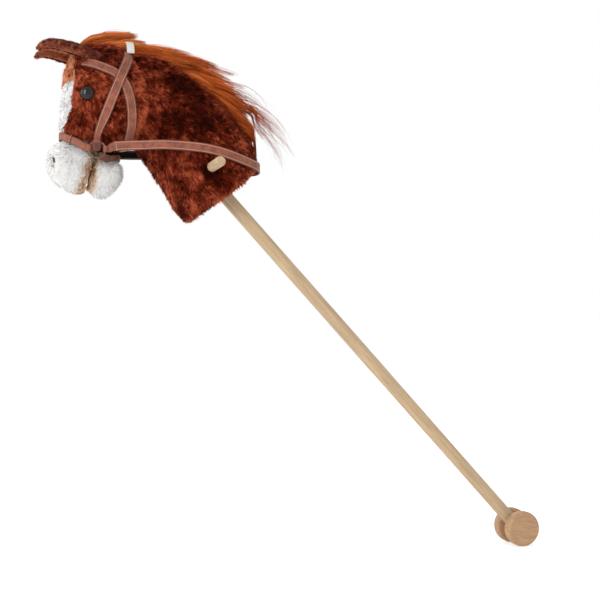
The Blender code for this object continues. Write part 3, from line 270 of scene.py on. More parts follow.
# Mane: side-view place of the roots, first and last direction of the hair in degrees, and its length
MANE_FLOW = (
    (-0.1680, 0.1540, 62.0, 0.0, 0.076),
    (-0.1600, 0.1575, 56.0, 0.0, 0.072),
    (-0.1450, 0.1610, 50.0, 2.0, 0.056),
    (-0.1320, 0.1612, 38.0, 4.0, 0.044),
    (-0.1220, 0.1603, 24.0, -4.0, 0.052),
    (-0.1100, 0.1575, 18.0, -8.0, 0.072),
    (-0.1000, 0.1550, 14.0, -13.0, 0.090),
    (-0.0800, 0.1530, 8.0, -17.0, 0.094),
    (-0.0620, 0.1480, 4.0, -20.0, 0.094),
    (-0.0450, 0.1390, 0.0, -24.0, 0.092),
    (-0.0300, 0.1300, -5.0, -30.0, 0.088),
    (-0.0140, 0.1185, -10.0, -32.0, 0.084),
    (0.0000, 0.1080, -14.0, -36.0, 0.080),
    (0.0150, 0.0940, -16.0, -38.0, 0.078),
    (0.0300, 0.0800, -18.0, -40.0, 0.070),
    (0.0420, 0.0680, -20.0, -42.0, 0.060),
    (0.0530, 0.0555, -22.0, -46.0, 0.050),
)

# Camera
LENS = 72.5
CAMERA_AT = (-0.30154, -1.57396, -0.20575)
LOOKED_AT = (0.132, 0.0, -0.1687)

FUR_MAP = "OFBake"
WHITE = (1.0, 1.0, 1.0, 1.0)
STUFFING_FRAMES = 20
# Height of the stitches' middles over a strap's face
STITCH_LIFT = 0.00012
# How far over its foot a strap looks for the straps that it crosses
PROBE = 0.014
# Places of a strap's points across it, as shares of its width
COLUMNS = (-0.5, -0.25, 0.0, 0.25, 0.5)
# Distance from thread to thread along woven tape, and their closeness across it
WEAVE_PITCH = 0.0009
WEAVE_ACROSS = 42.0
TAB_WIDTH = STRAP_WIDTH * 0.92
SIDES = ("left", "right")


def sign_of(side):
    """Which way a side lies along Y."""
    return -1.0 if side == "left" else 1.0


# Sizes and colours that a user may change


def colour(name, description, value):
    """Colour property."""
    return bpy.props.FloatVectorProperty(
        name=name, description=description, default=value, size=3, min=0.0, max=1.0, subtype="COLOR"
    )


def length(name, description, value):
    """Length property in metres."""
    return bpy.props.FloatProperty(
        name=name, description=description, default=value, min=0.0, unit="LENGTH", precision=5
    )


def number(name, description, value, low=0.0):
    """Plain number property."""
    return bpy.props.FloatProperty(name=name, description=description, default=value, min=low)


def whole_number(name, description, value):
    """Whole number property."""
    return bpy.props.IntProperty(name=name, description=description, default=value, min=10)


class HorsePlushSizes(bpy.types.PropertyGroup):
    """Plush covers and their pile"""

    sink: length("Pile room", "How far the backing cloth lies under the outline of the solids", 0.0025)
    net: length("Cloth net", "Edge length of the cloth net while a cover is stuffed", 0.0050)
    pressure: number("Stuffing", "Pressure of the filling on the covers", 4.0)
    give: length("Give", "The most that a cover swells or draws in", 0.0035)
    pile: length("Brown pile", "Length of the brown pile", 0.0085)
    white_pile: length("White pile", "Length of the white pile", 0.0070)
    ear_pile: length("Ear pile", "Length of the pile on the ears", 0.0045)
    tuft: length("Tuft width", "Width of a tuft at its root", 0.0013)
    density: number("Tufts", "Tufts on a square metre", 1.25e6, 1000.0)
    # Dark brown is the pile's colour at its low shade values: painted shade in folds and creases, and the
    # pile's own darker patches
    dark: colour("Dark brown", "Pile in the folds", (0.026, 0.0028, 0.0012))
    middle: colour("Brown", "Most of the pile", (0.172, 0.0175, 0.0062))
    light: colour("Light brown", "Pile that catches the light", (0.50, 0.105, 0.045))
    white: colour("White", "White pile", (0.97, 0.96, 0.945))
    # The grey of the white pile is painted shade in its folds
    grey: colour("Grey", "White pile in the folds", (0.90, 0.895, 0.88))
    peach: colour("Peach", "Lining of the mouth", (0.80, 0.52, 0.34))
    tan: colour("Tan", "Lining of the ears", (0.34, 0.22, 0.10))


class HorseManeSizes(bpy.types.PropertyGroup):
    """Long hair of the mane"""

    strands: whole_number("Strands", "Number of strands", 15000)
    locks: whole_number("Locks", "Number of locks they gather in", 420)
    width: length("Strand width", "Width of a strand at its root", 0.00085)
    spread: length("Spread", "Half width of the mane at its roots", 0.0060)
    dark: colour("Dark hair", "Darkest strands", (0.38, 0.062, 0.012))
    middle: colour("Hair", "Most of the hair", (0.72, 0.155, 0.030))
    light: colour("Light hair", "Lightest strands", (0.94, 0.36, 0.11))


class HorseStrapSizes(bpy.types.PropertyGroup):
    """Straps of the bridle and reins"""

    stitch: length("Stitch", "Length of one stitch", 0.0023)
    pitch: length("Stitch pitch", "Distance from one stitch to the next", 0.0030)
    thread: length("Thread", "Thickness of the thread", 0.0008)
    inset: length("Stitch inset", "Distance of the stitching from the edge", 0.0018)
    leather: colour("Leather", "Face of the straps", (0.27, 0.080, 0.045))
    backing: colour("Backing", "Back of the straps", (0.012, 0.010, 0.010))
    stitching: colour("Stitching", "Thread of the stitching", (0.84, 0.60, 0.44))


class HorseWoodSizes(bpy.types.PropertyGroup):
    """Stick, handle bar and wheels"""

    stick: colour("Stick", "Light beech", (0.60, 0.43, 0.26))
    wheel: colour("Wheels", "Warmer beech of the wheels", (0.52, 0.31, 0.17))
    fleck: colour("Flecks", "Short dark lines of the grain", (0.33, 0.18, 0.085))
    rim: length("Rim", "Rounding of a wheel's rims", 0.0045)


class HorseMetalSizes(bpy.types.PropertyGroup):
    """Rings, keepers and eyes"""

    metal: colour("Metal", "Old dark nickel", (0.105, 0.085, 0.065))
    eye: colour("Eye", "Glossy black eye", (0.003, 0.002, 0.002))
    keeper_wire: length("Keeper wire", "Thickness of a keeper's wire", 0.0012)


class HorseStageSizes(bpy.types.PropertyGroup):
    """Camera, floor and lamps"""

    floor: colour("Floor", "Plain pale floor", (0.93, 0.93, 0.93))
    key: number("Key lamp", "Power in watts", 30.0)
    side: number("Side lamp", "Power in watts", 13.0)
    fill: number("Fill lamp", "Power in watts", 6.0)
    rear: number("Rear lamp", "Power in watts", 14.0)
    sky: number("Sky", "Even light from all round", 0.61)


GROUPS = {
    "horse_plush": HorsePlushSizes,
    "horse_mane": HorseManeSizes,
    "horse_strap": HorseStrapSizes,
    "horse_wood": HorseWoodSizes,
    "horse_metal": HorseMetalSizes,
    "horse_stage": HorseStageSizes,
}


# Nodes

PREFIXES = {"SHADER": ("ShaderNode",), "GEOMETRY": ("GeometryNode", "FunctionNode", "ShaderNode")}


def pick(sockets, key):
    """Socket by its number, or by its name among those in use."""
    if isinstance(key, int):
        return sockets[key]
    return next(s for s in sockets if s.name == key and s.enabled)


def add(tree, kind, inputs=None, **options):
    """Add a node by its short name. Inputs are sockets or plain values, by name or number."""
    node = tree.nodes.new(next(p + kind for p in PREFIXES[tree.type] if hasattr(bpy.types, p + kind)))
    for key, value in options.items():
        setattr(node, key, value)
    for key, value in (inputs or {}).items():
        socket = pick(node.inputs, key)
        if isinstance(value, bpy.types.NodeSocket):
            tree.links.new(value, socket)
        else:
            socket.default_value = value
    return node


def out(tree, kind, inputs=None, output=0, **options):
    """Output of an added node."""
    return pick(add(tree, kind, inputs, **options).outputs, output)


def maths(tree, operation, first, second=0.0, clamp=False):
    """Number worked out from one or two others."""
    return out(tree, "Math", {0: first, 1: second}, operation=operation, use_clamp=clamp)


def times(tree, first, second):
    """Product of two numbers."""
    return maths(tree, "MULTIPLY", first, second)


def plus(tree, first, second):
    """Sum of two numbers."""
    return maths(tree, "ADD", first, second)


def vectors(tree, operation, first, second=(0.0, 0.0, 0.0), output=0):
    """Vector worked out from one or two others."""
    return out(tree, "VectorMath", {0: first, 1: second}, output, operation=operation)


def ranged(tree, value, low, high, start=0.0, end=1.0):
    """Number taken from one range to another."""
    ends = {"Value": value, "From Min": start, "From Max": end, "To Min": low, "To Max": high}
    return out(tree, "MapRange", ends)


def object_place(tree):
    """Place in the piece's own space."""
    return out(tree, "TexCoord", output="Object")


def chance(tree, low, high, seed):
    """Random number for each point."""
    return out(tree, "RandomValue", {2: low, 3: high, "Seed": seed}, 1, data_type="FLOAT")


def scaled(tree, vector, factor):
    """Vector times a number."""
    return out(tree, "VectorMath", {0: vector, "Scale": factor}, operation="SCALE")


def ramp(tree, factor, stops):
    """Colour ramp: stops are (place, colour or grey)."""
    node = add(tree, "ValToRGB", {0: factor})
    elements = node.color_ramp.elements
    while len(elements) < len(stops):
        elements.new(0.5)
    for element, (place, value) in zip(elements, stops):
        element.position = place
        shade = (value, value, value) if isinstance(value, float) else tuple(value)
        element.color = (*shade, 1.0)
    return node.outputs["Color"]


def mixed(tree, factor, first, second, blend="MIX"):
    """Two colours mixed."""
    return out(
        tree, "Mix", {"Factor": factor, "A": first, "B": second}, "Result", data_type="RGBA",
        blend_type=blend,
    )


def look(name, roughness, **constants):
    """New material. Returns it with its tree and shader."""
    material = bpy.data.materials.new(name)
    material.use_nodes = True
    shader = material.node_tree.nodes["Principled BSDF"]
    shader.inputs["Roughness"].default_value = roughness
    for key, value in constants.items():
        shader.inputs[key.replace("_", " ")].default_value = value
    return material, material.node_tree, shader


def shaded(base, factor):
    """Colour made darker or lighter."""
    return tuple(min(1.0, c * factor) for c in base)


def feed(shader, key, value):
    """Link a value to an input of a shader."""
    shader.id_data.links.new(value, shader.inputs[key])


def bump(tree, shader, height, strength, distance):
    """Bump from a height."""
    normal = out(tree, "Bump", {"Height": height, "Strength": strength, "Distance": distance})
    feed(shader, "Normal", normal)


def noise_at(tree, place, scale, detail=2.0, roughness=0.5, distortion=0.0):
    """Noise at a place."""
    settings = {"Scale": scale, "Detail": detail, "Roughness": roughness, "Distortion": distortion}
    return out(tree, "TexNoise", {"Vector": place, **settings})


def backing_look(name, dark, light, patch):
    """Backing cloth between the tufts."""
    material, tree, shader = look(name, 0.95, Specular_IOR_Level=0.03)
    place = object_place(tree)
    patches = noise_at(tree, place, patch, 4.0)
    fine = noise_at(tree, place, 700.0, 2.0)
    both = plus(tree, times(tree, patches, 0.7), times(tree, fine, 0.3))
    feed(shader, "Base Color", ramp(tree, both, ((0.35, dark), (0.65, light))))
    bump(tree, shader, fine, 0.6, 0.001)
    return material


def pile_look(name, stops, root, tip=1.0, roughness=0.6, gloss=0.12, tint=(1.0, 1.0, 1.0)):
    """Tufts: their map holds shade across and root to tip upwards."""
    material, tree, shader = look(name, roughness, Specular_IOR_Level=gloss, Specular_Tint=(*tint, 1.0))
    both = out(tree, "UVMap", uv_map=FUR_MAP)
    parts = add(tree, "SeparateXYZ", {0: both})
    shade = ramp(tree, parts.outputs[0], stops)
    # The roots are painted darker than the tufts' middles: painted shade deep among the tufts
    depth = ramp(tree, parts.outputs[1], ((0.0, root), (0.4, 1.0), (0.75, 1.0), (1.0, tip)))
    feed(shader, "Base Color", mixed(tree, 1.0, shade, depth, "MULTIPLY"))
    rough = maths(tree, "SUBTRACT", roughness + 0.12, times(tree, parts.outputs[0], 0.2))
    feed(shader, "Roughness", rough)
    return material


def felt_look(name, base):
    """Short brushed cloth."""
    material, tree, shader = look(name, 0.9, Specular_IOR_Level=0.15, Sheen_Weight=0.3)
    place = object_place(tree)
    cloud = noise_at(tree, place, 90.0, 4.0)
    fibre = noise_at(tree, place, 1400.0, 3.0)
    both = plus(tree, times(tree, cloud, 0.6), times(tree, fibre, 0.4))
    stops = ((0.36, shaded(base, 0.6)), (0.5, base), (0.66, shaded(base, 1.25)))
    feed(shader, "Base Color", ramp(tree, both, stops))
    bump(tree, shader, fibre, 0.5, 0.0006)
    return material


def leather_look(name, base):
    """Soft leather with a fine grain. Its map is metres along, and 0 to 1 across."""
    material, tree, shader = look(name, 0.55, Specular_IOR_Level=0.4)
    place = object_place(tree)
    cloud = noise_at(tree, place, 120.0, 5.0, 0.6)
    pores = out(tree, "TexVoronoi", {"Vector": place, "Scale": 1500.0, "Randomness": 1.0}, "Distance")
    across = add(tree, "SeparateXYZ", {0: out(tree, "UVMap", uv_map="Strap")}).outputs[1]
    stops = ((0.32, shaded(base, 0.62)), (0.5, base), (0.7, shaded(base, 1.45)))
    worn = ((0.0, 0.45), (0.07, 0.72), (0.13, 1.0), (0.87, 1.0), (0.93, 0.72), (1.0, 0.45))
    face = mixed(tree, 1.0, ramp(tree, cloud, stops), ramp(tree, across, worn), "MULTIPLY")
    feed(shader, "Base Color", face)
    feed(shader, "Roughness", ranged(tree, cloud, 0.45, 0.68))
    bump(tree, shader, plus(tree, times(tree, pores, 0.6), times(tree, cloud, 0.6)), 0.35, 0.0006)
    return material


def webbing_look(name, base):
    """Plain woven tape, by its strap map."""
    material, tree, shader = look(name, 0.85, Specular_IOR_Level=0.2)
    strap = out(tree, "UVMap", uv_map="Strap")
    spread = vectors(tree, "MULTIPLY", strap, (math.pi / WEAVE_PITCH, WEAVE_ACROSS, 0.0))
    parts = add(tree, "SeparateXYZ", {0: spread}).outputs
    weave = times(tree, maths(tree, "SINE", parts[0]), maths(tree, "SINE", parts[1]))
    height = plus(tree, times(tree, weave, 0.5), 0.5)
    feed(shader, "Base Color", ramp(tree, height, ((0.1, shaded(base, 0.72)), (0.6, base))))
    bump(tree, shader, height, 0.6, 0.0004)
    return material


def thread_look(name, base):
    """Waxed thread."""
    material, tree, shader = look(name, 0.6, Specular_IOR_Level=0.3)
    twist = noise_at(tree, object_place(tree), 2500.0, 1.0)
    feed(shader, "Base Color", ramp(tree, twist, ((0.35, shaded(base, 0.75)), (0.6, base))))
    bump(tree, shader, twist, 0.4, 0.0003)
    return material


def wood_look(name, base, fleck, turn, stretch):
    """Beech: fine pores and short flecks along the grain, which runs along Z once turned."""
    material, tree, shader = look(name, 0.5, Specular_IOR_Level=0.35)
    place = object_place(tree)
    turned = out(tree, "Mapping", {"Vector": place, "Rotation": turn})
    long = out(tree, "Mapping", {"Vector": turned, "Scale": stretch})
    bands = noise_at(tree, long, 1.0, 4.0, 0.6, 0.4)
    flecks = noise_at(tree, vectors(tree, "MULTIPLY", long, (5.0, 5.0, 2.2)), 1.0, 2.0, 0.7)
    cloud = noise_at(tree, place, 14.0, 3.0)
    ground = ramp(tree, bands, ((0.3, shaded(base, 0.80)), (0.5, base), (0.68, shaded(base, 1.14))))
    marks = ramp(tree, flecks, ((0.60, 0.0), (0.70, 0.55)))
    marked = mixed(tree, marks, ground, (*fleck, 1.0))
    shade = ramp(tree, cloud, ((0.35, 0.90), (0.65, 1.0)))
    feed(shader, "Base Color", mixed(tree, 1.0, marked, shade, "MULTIPLY"))
    feed(shader, "Roughness", ranged(tree, flecks, 0.42, 0.62))
    bump(tree, shader, plus(tree, bands, flecks), 0.12, 0.0006)
    return material


def metal_look(name, base):
    """Dark metal, rubbed brighter in places."""
    material, tree, shader = look(name, 0.35, Metallic=1.0)
    cloud = noise_at(tree, object_place(tree), 260.0, 4.0)
    feed(shader, "Base Color", ramp(tree, cloud, ((0.35, base), (0.7, shaded(base, 2.3)))))
    feed(shader, "Roughness", ranged(tree, cloud, 0.5, 0.24))
    bump(tree, shader, cloud, 0.1, 0.0004)
    return material


def gloss_look(name, base):
    """Glossy black plastic, faintly brown where it is thin."""
    material, tree, shader = look(name, 0.10, Specular_IOR_Level=0.36)
    cloud = noise_at(tree, object_place(tree), 160.0, 2.0)
    feed(shader, "Base Color", ramp(tree, cloud, ((0.4, base), (0.7, shaded(base, 2.2)))))
    feed(shader, "Roughness", ranged(tree, cloud, 0.09, 0.13))
    return material


# Meshes


def add_object(name, data):
    """Add an object for some data."""
    piece = bpy.data.objects.new(name, data)
    bpy.context.scene.collection.objects.link(piece)
    return piece


def place_mesh(mesh, name, *finishes):
    """Add a smooth piece for a mesh."""
    piece = add_object(name, mesh)
    for finish in finishes:
        mesh.materials.append(material_for(finish))
    mesh.shade_smooth()
    return piece


def painted(piece, *finishes):
    """Give a piece its materials anew."""
    piece.data.materials.clear()
    for finish in finishes:
        piece.data.materials.append(material_for(finish))
    return piece


def opened(*meshes):
    """Bmesh of one or several meshes."""
    bm = bmesh.new()
    for mesh in meshes:
        bm.from_mesh(mesh)
    return bm


def written(bm, mesh):
    """Write a bmesh to a mesh, and free it."""
    bm.to_mesh(mesh)
    bm.free()
    return mesh


def mesh_from(bm, name):
    """New mesh from a bmesh."""
    return written(bm, bpy.data.meshes.new(name))


def face_out(bm):
    """Turn all faces outwards."""
    bmesh.ops.recalc_face_normals(bm, faces=bm.faces)


def skinned(bm, rows, closed=False):
    """Faces from row to row of points. Closed rows get their two ends closed as well."""
    for first, second in zip(rows, rows[1:]):
        for i in range(len(first) if closed else len(first) - 1):
            j = (i + 1) % len(first)
            bm.faces.new((first[i], first[j], second[j], second[i]))
    if closed:
        bm.faces.new(rows[0][::-1])
        bm.faces.new(rows[-1])


def evaluated(piece):
    """The piece's mesh with its modifiers, in world space."""
    bpy.context.view_layer.update()
    graph = bpy.context.evaluated_depsgraph_get()
    mesh = bpy.data.meshes.new_from_object(piece.evaluated_get(graph))
    mesh.transform(piece.matrix_world)
    return mesh


def settle(piece):
    """Turn a piece's modifiers and place into its mesh."""
    mesh = evaluated(piece)
    mesh.name = piece.name
    piece.modifiers.clear()
    piece.matrix_world = Matrix.Identity(4)
    piece.data = mesh
    return piece


def drop(*pieces):
    """Remove helpers."""
    for piece in pieces:
        bpy.data.objects.remove(piece, do_unlink=True)


def taken(piece):
    """Mesh of a helper, which is removed."""
    mesh = piece.data
    drop(piece)
    return mesh


def subdivide(piece, levels=1):
    """Smooth a piece by subdivision."""
    soft = piece.modifiers.new("soft", "SUBSURF")
    soft.levels = levels
    soft.render_levels = levels
    return piece


def coordinates(mesh):
    """Mesh points as rows."""
    rows = np.empty(len(mesh.vertices) * 3)
    mesh.vertices.foreach_get("co", rows)
    return rows.reshape(-1, 3)


def normals_of(mesh):
    """Mesh point normals as rows."""
    rows = np.empty(len(mesh.vertices) * 3)
    mesh.vertex_normals.foreach_get("vector", rows)
    return rows.reshape(-1, 3)


def move_points(mesh, rows):
    """Set the mesh points."""
    mesh.vertices.foreach_set("co", np.ascontiguousarray(rows, dtype=np.float32).ravel())
    mesh.update()


def skin_of(mesh):
    """Search tree of a mesh."""
    faces = [list(p.vertices) for p in mesh.polygons]
    return BVHTree.FromPolygons([v.co.copy() for v in mesh.vertices], faces)


def side_point(xz, y=0.0):
    """A side-view place as a point."""
    return Vector((xz[0], y, xz[1]))


def done(piece, body, nodes=()):
    """Attach a finished piece to its body, and hide the solids that it takes the place of."""
    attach(piece, body)
    if nodes:
        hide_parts(*nodes)
    return piece


def lathe(name, profile, matrix, finish, steps=64):
    """Turned piece: a profile of (radius, height) spun round its own Z."""
    mesh = bpy.data.meshes.new(name)
    mesh.from_pydata([(r, 0.0, z) for r, z in profile], [(i, i + 1) for i in range(len(profile) - 1)], [])
    piece = place_mesh(mesh, name)
    screw = piece.modifiers.new("turn", "SCREW")
    screw.steps = steps
    screw.render_steps = steps
    screw.use_merge_vertices = True
    screw.merge_threshold = 0.000001
    piece.matrix_world = matrix
    settle(piece)
    bm = opened(piece.data)
    bmesh.ops.remove_doubles(bm, verts=bm.verts, dist=0.000001)
    face_out(bm)
    written(bm, piece.data)
    painted(piece, finish).data.shade_smooth()
    piece.data.set_sharp_from_angle(angle=math.radians(40))
    return piece


def arc(middle, radius, start, end, steps):
    """Points of a profile on an arc, in degrees."""
    points = []
    for i in range(steps + 1):
        turn = math.radians(start + (end - start) * i / steps)
        points.append((middle[0] + radius * math.cos(turn), middle[1] + radius * math.sin(turn)))
    return points


def through(points, steps=12, closed=False):
    """Smooth curve through points of any number of values."""
    rows = [np.array(p, dtype=float) for p in points]
    count = len(rows)
    found = []
    last = count if closed else count - 1
    for i in range(last):
        p1 = rows[i]
        p2 = rows[(i + 1) % count]
        p0 = rows[(i - 1) % count] if closed or i > 0 else 2 * p1 - p2
        p3 = rows[(i + 2) % count] if closed or i + 2 < count else 2 * p2 - p1
        for k in range(steps):
            t = k / steps
            part = 2 * p1 + (p2 - p0) * t + (2 * p0 - 5 * p1 + 4 * p2 - p3) * t * t
            found.append(0.5 * (part + (3 * p1 - p0 - 3 * p2 + p3) * t ** 3))
    if not closed:
        found.append(rows[-1])
    return np.array(found)


def evenly(curve, step, closed=False):
    """Points a steady distance apart on a curve."""
    walk = np.vstack([curve, curve[:1]]) if closed else curve
    lengths = np.concatenate([[0.0], np.cumsum(np.linalg.norm(np.diff(walk[:, :3], axis=0), axis=1))])
    count = max(4, round(lengths[-1] / step))
    marks = np.linspace(0.0, lengths[-1], count + 1)
    even = np.array([[np.interp(m, lengths, walk[:, k]) for k in range(walk.shape[1])] for m in marks])
    return even[:-1] if closed else even


def averaged(rows, closed, passes=1):
    """Running average along a strap."""
    for _ in range(passes):
        if closed:
            rows = (np.roll(rows, 1, axis=0) + 2 * rows + np.roll(rows, -1, axis=0)) / 4
        else:
            inner = (rows[:-2] + 2 * rows[1:-1] + rows[2:]) / 4
            rows = np.concatenate([rows[:1], inner, rows[-1:]])
    return rows


def spread_over(values, count):
    """Values spread evenly over a number of points."""
    return np.interp(np.linspace(0.0, 1.0, count), np.linspace(0.0, 1.0, len(values)), values)


def unit(rows):
    """Rows scaled to length one."""
    return rows / np.maximum(np.linalg.norm(rows, axis=-1, keepdims=True), 1e-12)


# Soft forms


def ring_form(rings, half_width, name):
    """Smooth closed form through pairs of side-view points."""
    shrink = (2.0 + math.cos(2 * math.pi / RING_SIDES)) / 3.0
    bm = bmesh.new()
    loops = []
    for low, high, share in rings:
        middle = (side_point(low) + side_point(high)) / 2
        reach = (side_point(high) - side_point(low)) / 2 / shrink
        side = Vector((0.0, half_width * share / shrink, 0.0))
        turns = [2 * math.pi * i / RING_SIDES for i in range(RING_SIDES)]
        loops.append([bm.verts.new(middle + reach * math.cos(t) + side * math.sin(t)) for t in turns])
    skinned(bm, loops, True)
    face_out(bm)
    return settle(subdivide(place_mesh(mesh_from(bm, name), name), 3))


def sunk(piece, depth):
    """Draw a form in along its normals."""
    move_points(piece.data, coordinates(piece.data) - normals_of(piece.data) * depth)
    return piece


def cut_flat(piece, at, outward):
    """Cut a form at a plane, and close it there."""
    bm = opened(piece.data)
    geometry = bm.verts[:] + bm.edges[:] + bm.faces[:]
    found = bmesh.ops.bisect_plane(
        bm, geom=geometry, dist=1e-6, plane_co=at, plane_no=outward, clear_outer=True
    )
    edges = [e for e in found["geom_cut"] if isinstance(e, bmesh.types.BMEdge)]
    bmesh.ops.edgeloop_fill(bm, edges=edges)
    face_out(bm)
    written(bm, piece.data)


def stuff(piece, held):
    """Fill a cover: an even net of cloth, held at its seams and blown up a little."""
    sizes = bpy.context.scene.horse_plush
    net = piece.modifiers.new("net", "REMESH")
    net.mode = "VOXEL"
    net.voxel_size = sizes.net
    settle(piece)
    start = coordinates(piece.data)
    group = piece.vertex_groups.new(name="seams")
    for i, point in enumerate(start):
        if held(point):
            group.add([i], 1.0, "REPLACE")
    cloth = piece.modifiers.new("filling", "CLOTH")
    cloth.settings.use_pressure = True
    cloth.settings.uniform_pressure_force = sizes.pressure
    cloth.settings.vertex_group_mass = "seams"
    cloth.settings.effector_weights.gravity = 0.0
    cloth.point_cache.frame_start = 1
    cloth.point_cache.frame_end = STUFFING_FRAMES
    scene = bpy.context.scene
    for moment in range(1, STUFFING_FRAMES + 1):
        scene.frame_set(moment)
    graph = bpy.context.evaluated_depsgraph_get()
    moved = coordinates(piece.evaluated_get(graph).data) - start
    piece.modifiers.clear()
    scene.frame_set(1)
    far = np.linalg.norm(moved, axis=1, keepdims=True)
    moved *= np.minimum(1.0, sizes.give / np.maximum(far, 1e-9))
    move_points(piece.data, start + moved)
    piece.vertex_groups.clear()
    settle(subdivide(piece))


def near(value, middle, reach):
    """1 at the middle, falling to 0 at the reach."""
    return np.clip(1.0 - np.abs(value - middle) / reach, 0.0, 1.0)


def along_mouth(point):
    """How far a place lies behind the mouth's middle line, and how far down."""
    low = np.array(MOUTH_BOTTOM)
    high = np.array(MOUTH_TOP)
    ahead = (low - high) / np.linalg.norm(low - high)
    across = np.array((-ahead[1], ahead[0]))
    rest = np.array((point[0], point[2])) - high
    return float(rest @ across), float(rest @ ahead) / float(np.linalg.norm(low - high))


def mouth_line(share, off):
    """Side-view place on the mouth's middle line, moved off it to the rear."""
    low = Vector(MOUTH_BOTTOM)
    high = Vector(MOUTH_TOP)
    ahead = (low - high).normalized()
    point = high + (low - high) * share + Vector((-ahead[1], ahead[0])) * off
    return point[0], point[1]


def seam_at(z):
    """X of the front gusset's seam at a height."""
    return np.interp(z, [m[1] for m in GUSSET_SEAM], [m[0] for m in GUSSET_SEAM])


def depths(skin, rows):
    """Height of each point over a closed skin, negative inside."""
    found = np.empty(len(rows))
    for i, row in enumerate(rows):
        hit, normal, _, _ = skin.find_nearest(Vector(row))
        found[i] = (Vector(row) - hit).dot(normal)
    return found


def free_of(rows, *skins):
    """1 where a point lies outside the skins, 0 where it lies in one of them."""
    return np.prod([np.clip((depths(skin, rows) + 0.001) / 0.002, 0.0, 1.0) for skin in skins], axis=0)


def add_spots(glow, rows, spots):
    """Add round darker and lighter places to the shade: painted shade and light. Spots are (x, z, reach,
    amount).
    """
    for x, z, reach, amount in spots:
        far = np.hypot(rows[:, 0] - x, rows[:, 2] - z)
        glow += amount * np.exp(-((far / reach) ** 2))


def write_attribute(mesh, name, kind, values):
    """Store values on the mesh points."""
    attribute = mesh.attributes.new(name, kind, "POINT")
    key = "vector" if kind == "FLOAT_VECTOR" else "value"
    attribute.data.foreach_set(key, np.ascontiguousarray(values, dtype=np.float32).ravel())


def groomed(piece, flow, cover, lay, glow):
    """Store what the pile reads: its lie, where it grows, its length and its shade."""
    mesh = piece.data
    normals = normals_of(mesh)
    flow = np.asarray(flow)
    lie = flow - normals * np.sum(flow * normals, axis=1, keepdims=True)
    write_attribute(mesh, "groom", "FLOAT_VECTOR", unit(lie))
    for name, values in (("cover", cover), ("lay", lay), ("glow", glow)):
        write_attribute(mesh, name, "FLOAT", values)


def blade():
    """One tuft, standing on its own Z: three faces, bent to lie down."""
    points = [
        (-0.5, 0.0, 0.0), (0.5, 0.0, 0.0), (-0.36, -0.03, 0.5), (0.36, -0.03, 0.5), (0.0, -0.20, 1.0)
    ]
    mesh = bpy.data.meshes.new("tuft")
    mesh.from_pydata(points, [], [(0, 1, 3, 2), (2, 3, 4)])
    mesh.attributes.new("along", "FLOAT", "POINT").data.foreach_set("value", [p[2] for p in points])
    return place_mesh(mesh, "tuft")


def sockets(tree, *wanted):
    """Named inputs of a tree. Returns them by name."""
    tree.interface.new_socket("Geometry", in_out="INPUT", socket_type="NodeSocketGeometry")
    for name, kind, value in wanted:
        socket = tree.interface.new_socket(name, in_out="INPUT", socket_type="NodeSocket" + kind)
        if value is not None:
            socket.default_value = value
    tree.interface.new_socket("Geometry", in_out="OUTPUT", socket_type="NodeSocketGeometry")
    return {s.name: s for s in tree.nodes.new("NodeGroupInput").outputs}


def named(tree, name, kind="FLOAT"):
    """Named attribute."""
    return out(tree, "InputNamedAttribute", {"Name": name}, data_type=kind)


def stored(tree, geometry, name, value, kind="FLOAT", domain="POINT"):
    """Geometry with a value stored on it."""
    return out(
        tree, "StoreNamedAttribute", {"Geometry": geometry, "Name": name, "Value": value},
        data_type=kind, domain=domain,
    )


def with_map(tree, geometry, across, upward, material, soft=None):
    """Real, coloured geometry whose map holds two values. Ends the tree."""
    real = out(tree, "RealizeInstances", {"Geometry": geometry})
    if soft:
        cloth = named(tree, soft, "FLOAT_VECTOR")
        own = out(tree, "InputNormal")
        y = add(tree, "SeparateXYZ", {0: out(tree, "InputPosition")}).outputs[1]
        half = ranged(tree, y, -1.5, 1.5, -0.016, 0.016)
        aside = out(tree, "CombineXYZ", {1: half})
        seen = vectors(tree, "DOT_PRODUCT", own, vectors(tree, "ADD", cloth, aside), "Value")
        way = ranged(tree, seen, -0.8, 0.8, -0.35, 0.35)
        leaning = vectors(tree, "ADD", scaled(tree, cloth, way), own)
        turned = {"Mesh": real, "Custom Normal": vectors(tree, "NORMALIZE", leaning)}
        real = out(tree, "SetMeshNormal", turned, mode="FREE", domain="CORNER")
    both = out(tree, "CombineXYZ", {0: across, 1: upward})
    mapped = stored(tree, real, FUR_MAP, both, "FLOAT2", "CORNER")
    finished = out(tree, "SetMaterial", {"Geometry": mapped, "Material": material})
    tree.links.new(finished, tree.nodes.new("NodeGroupOutput").inputs[0])


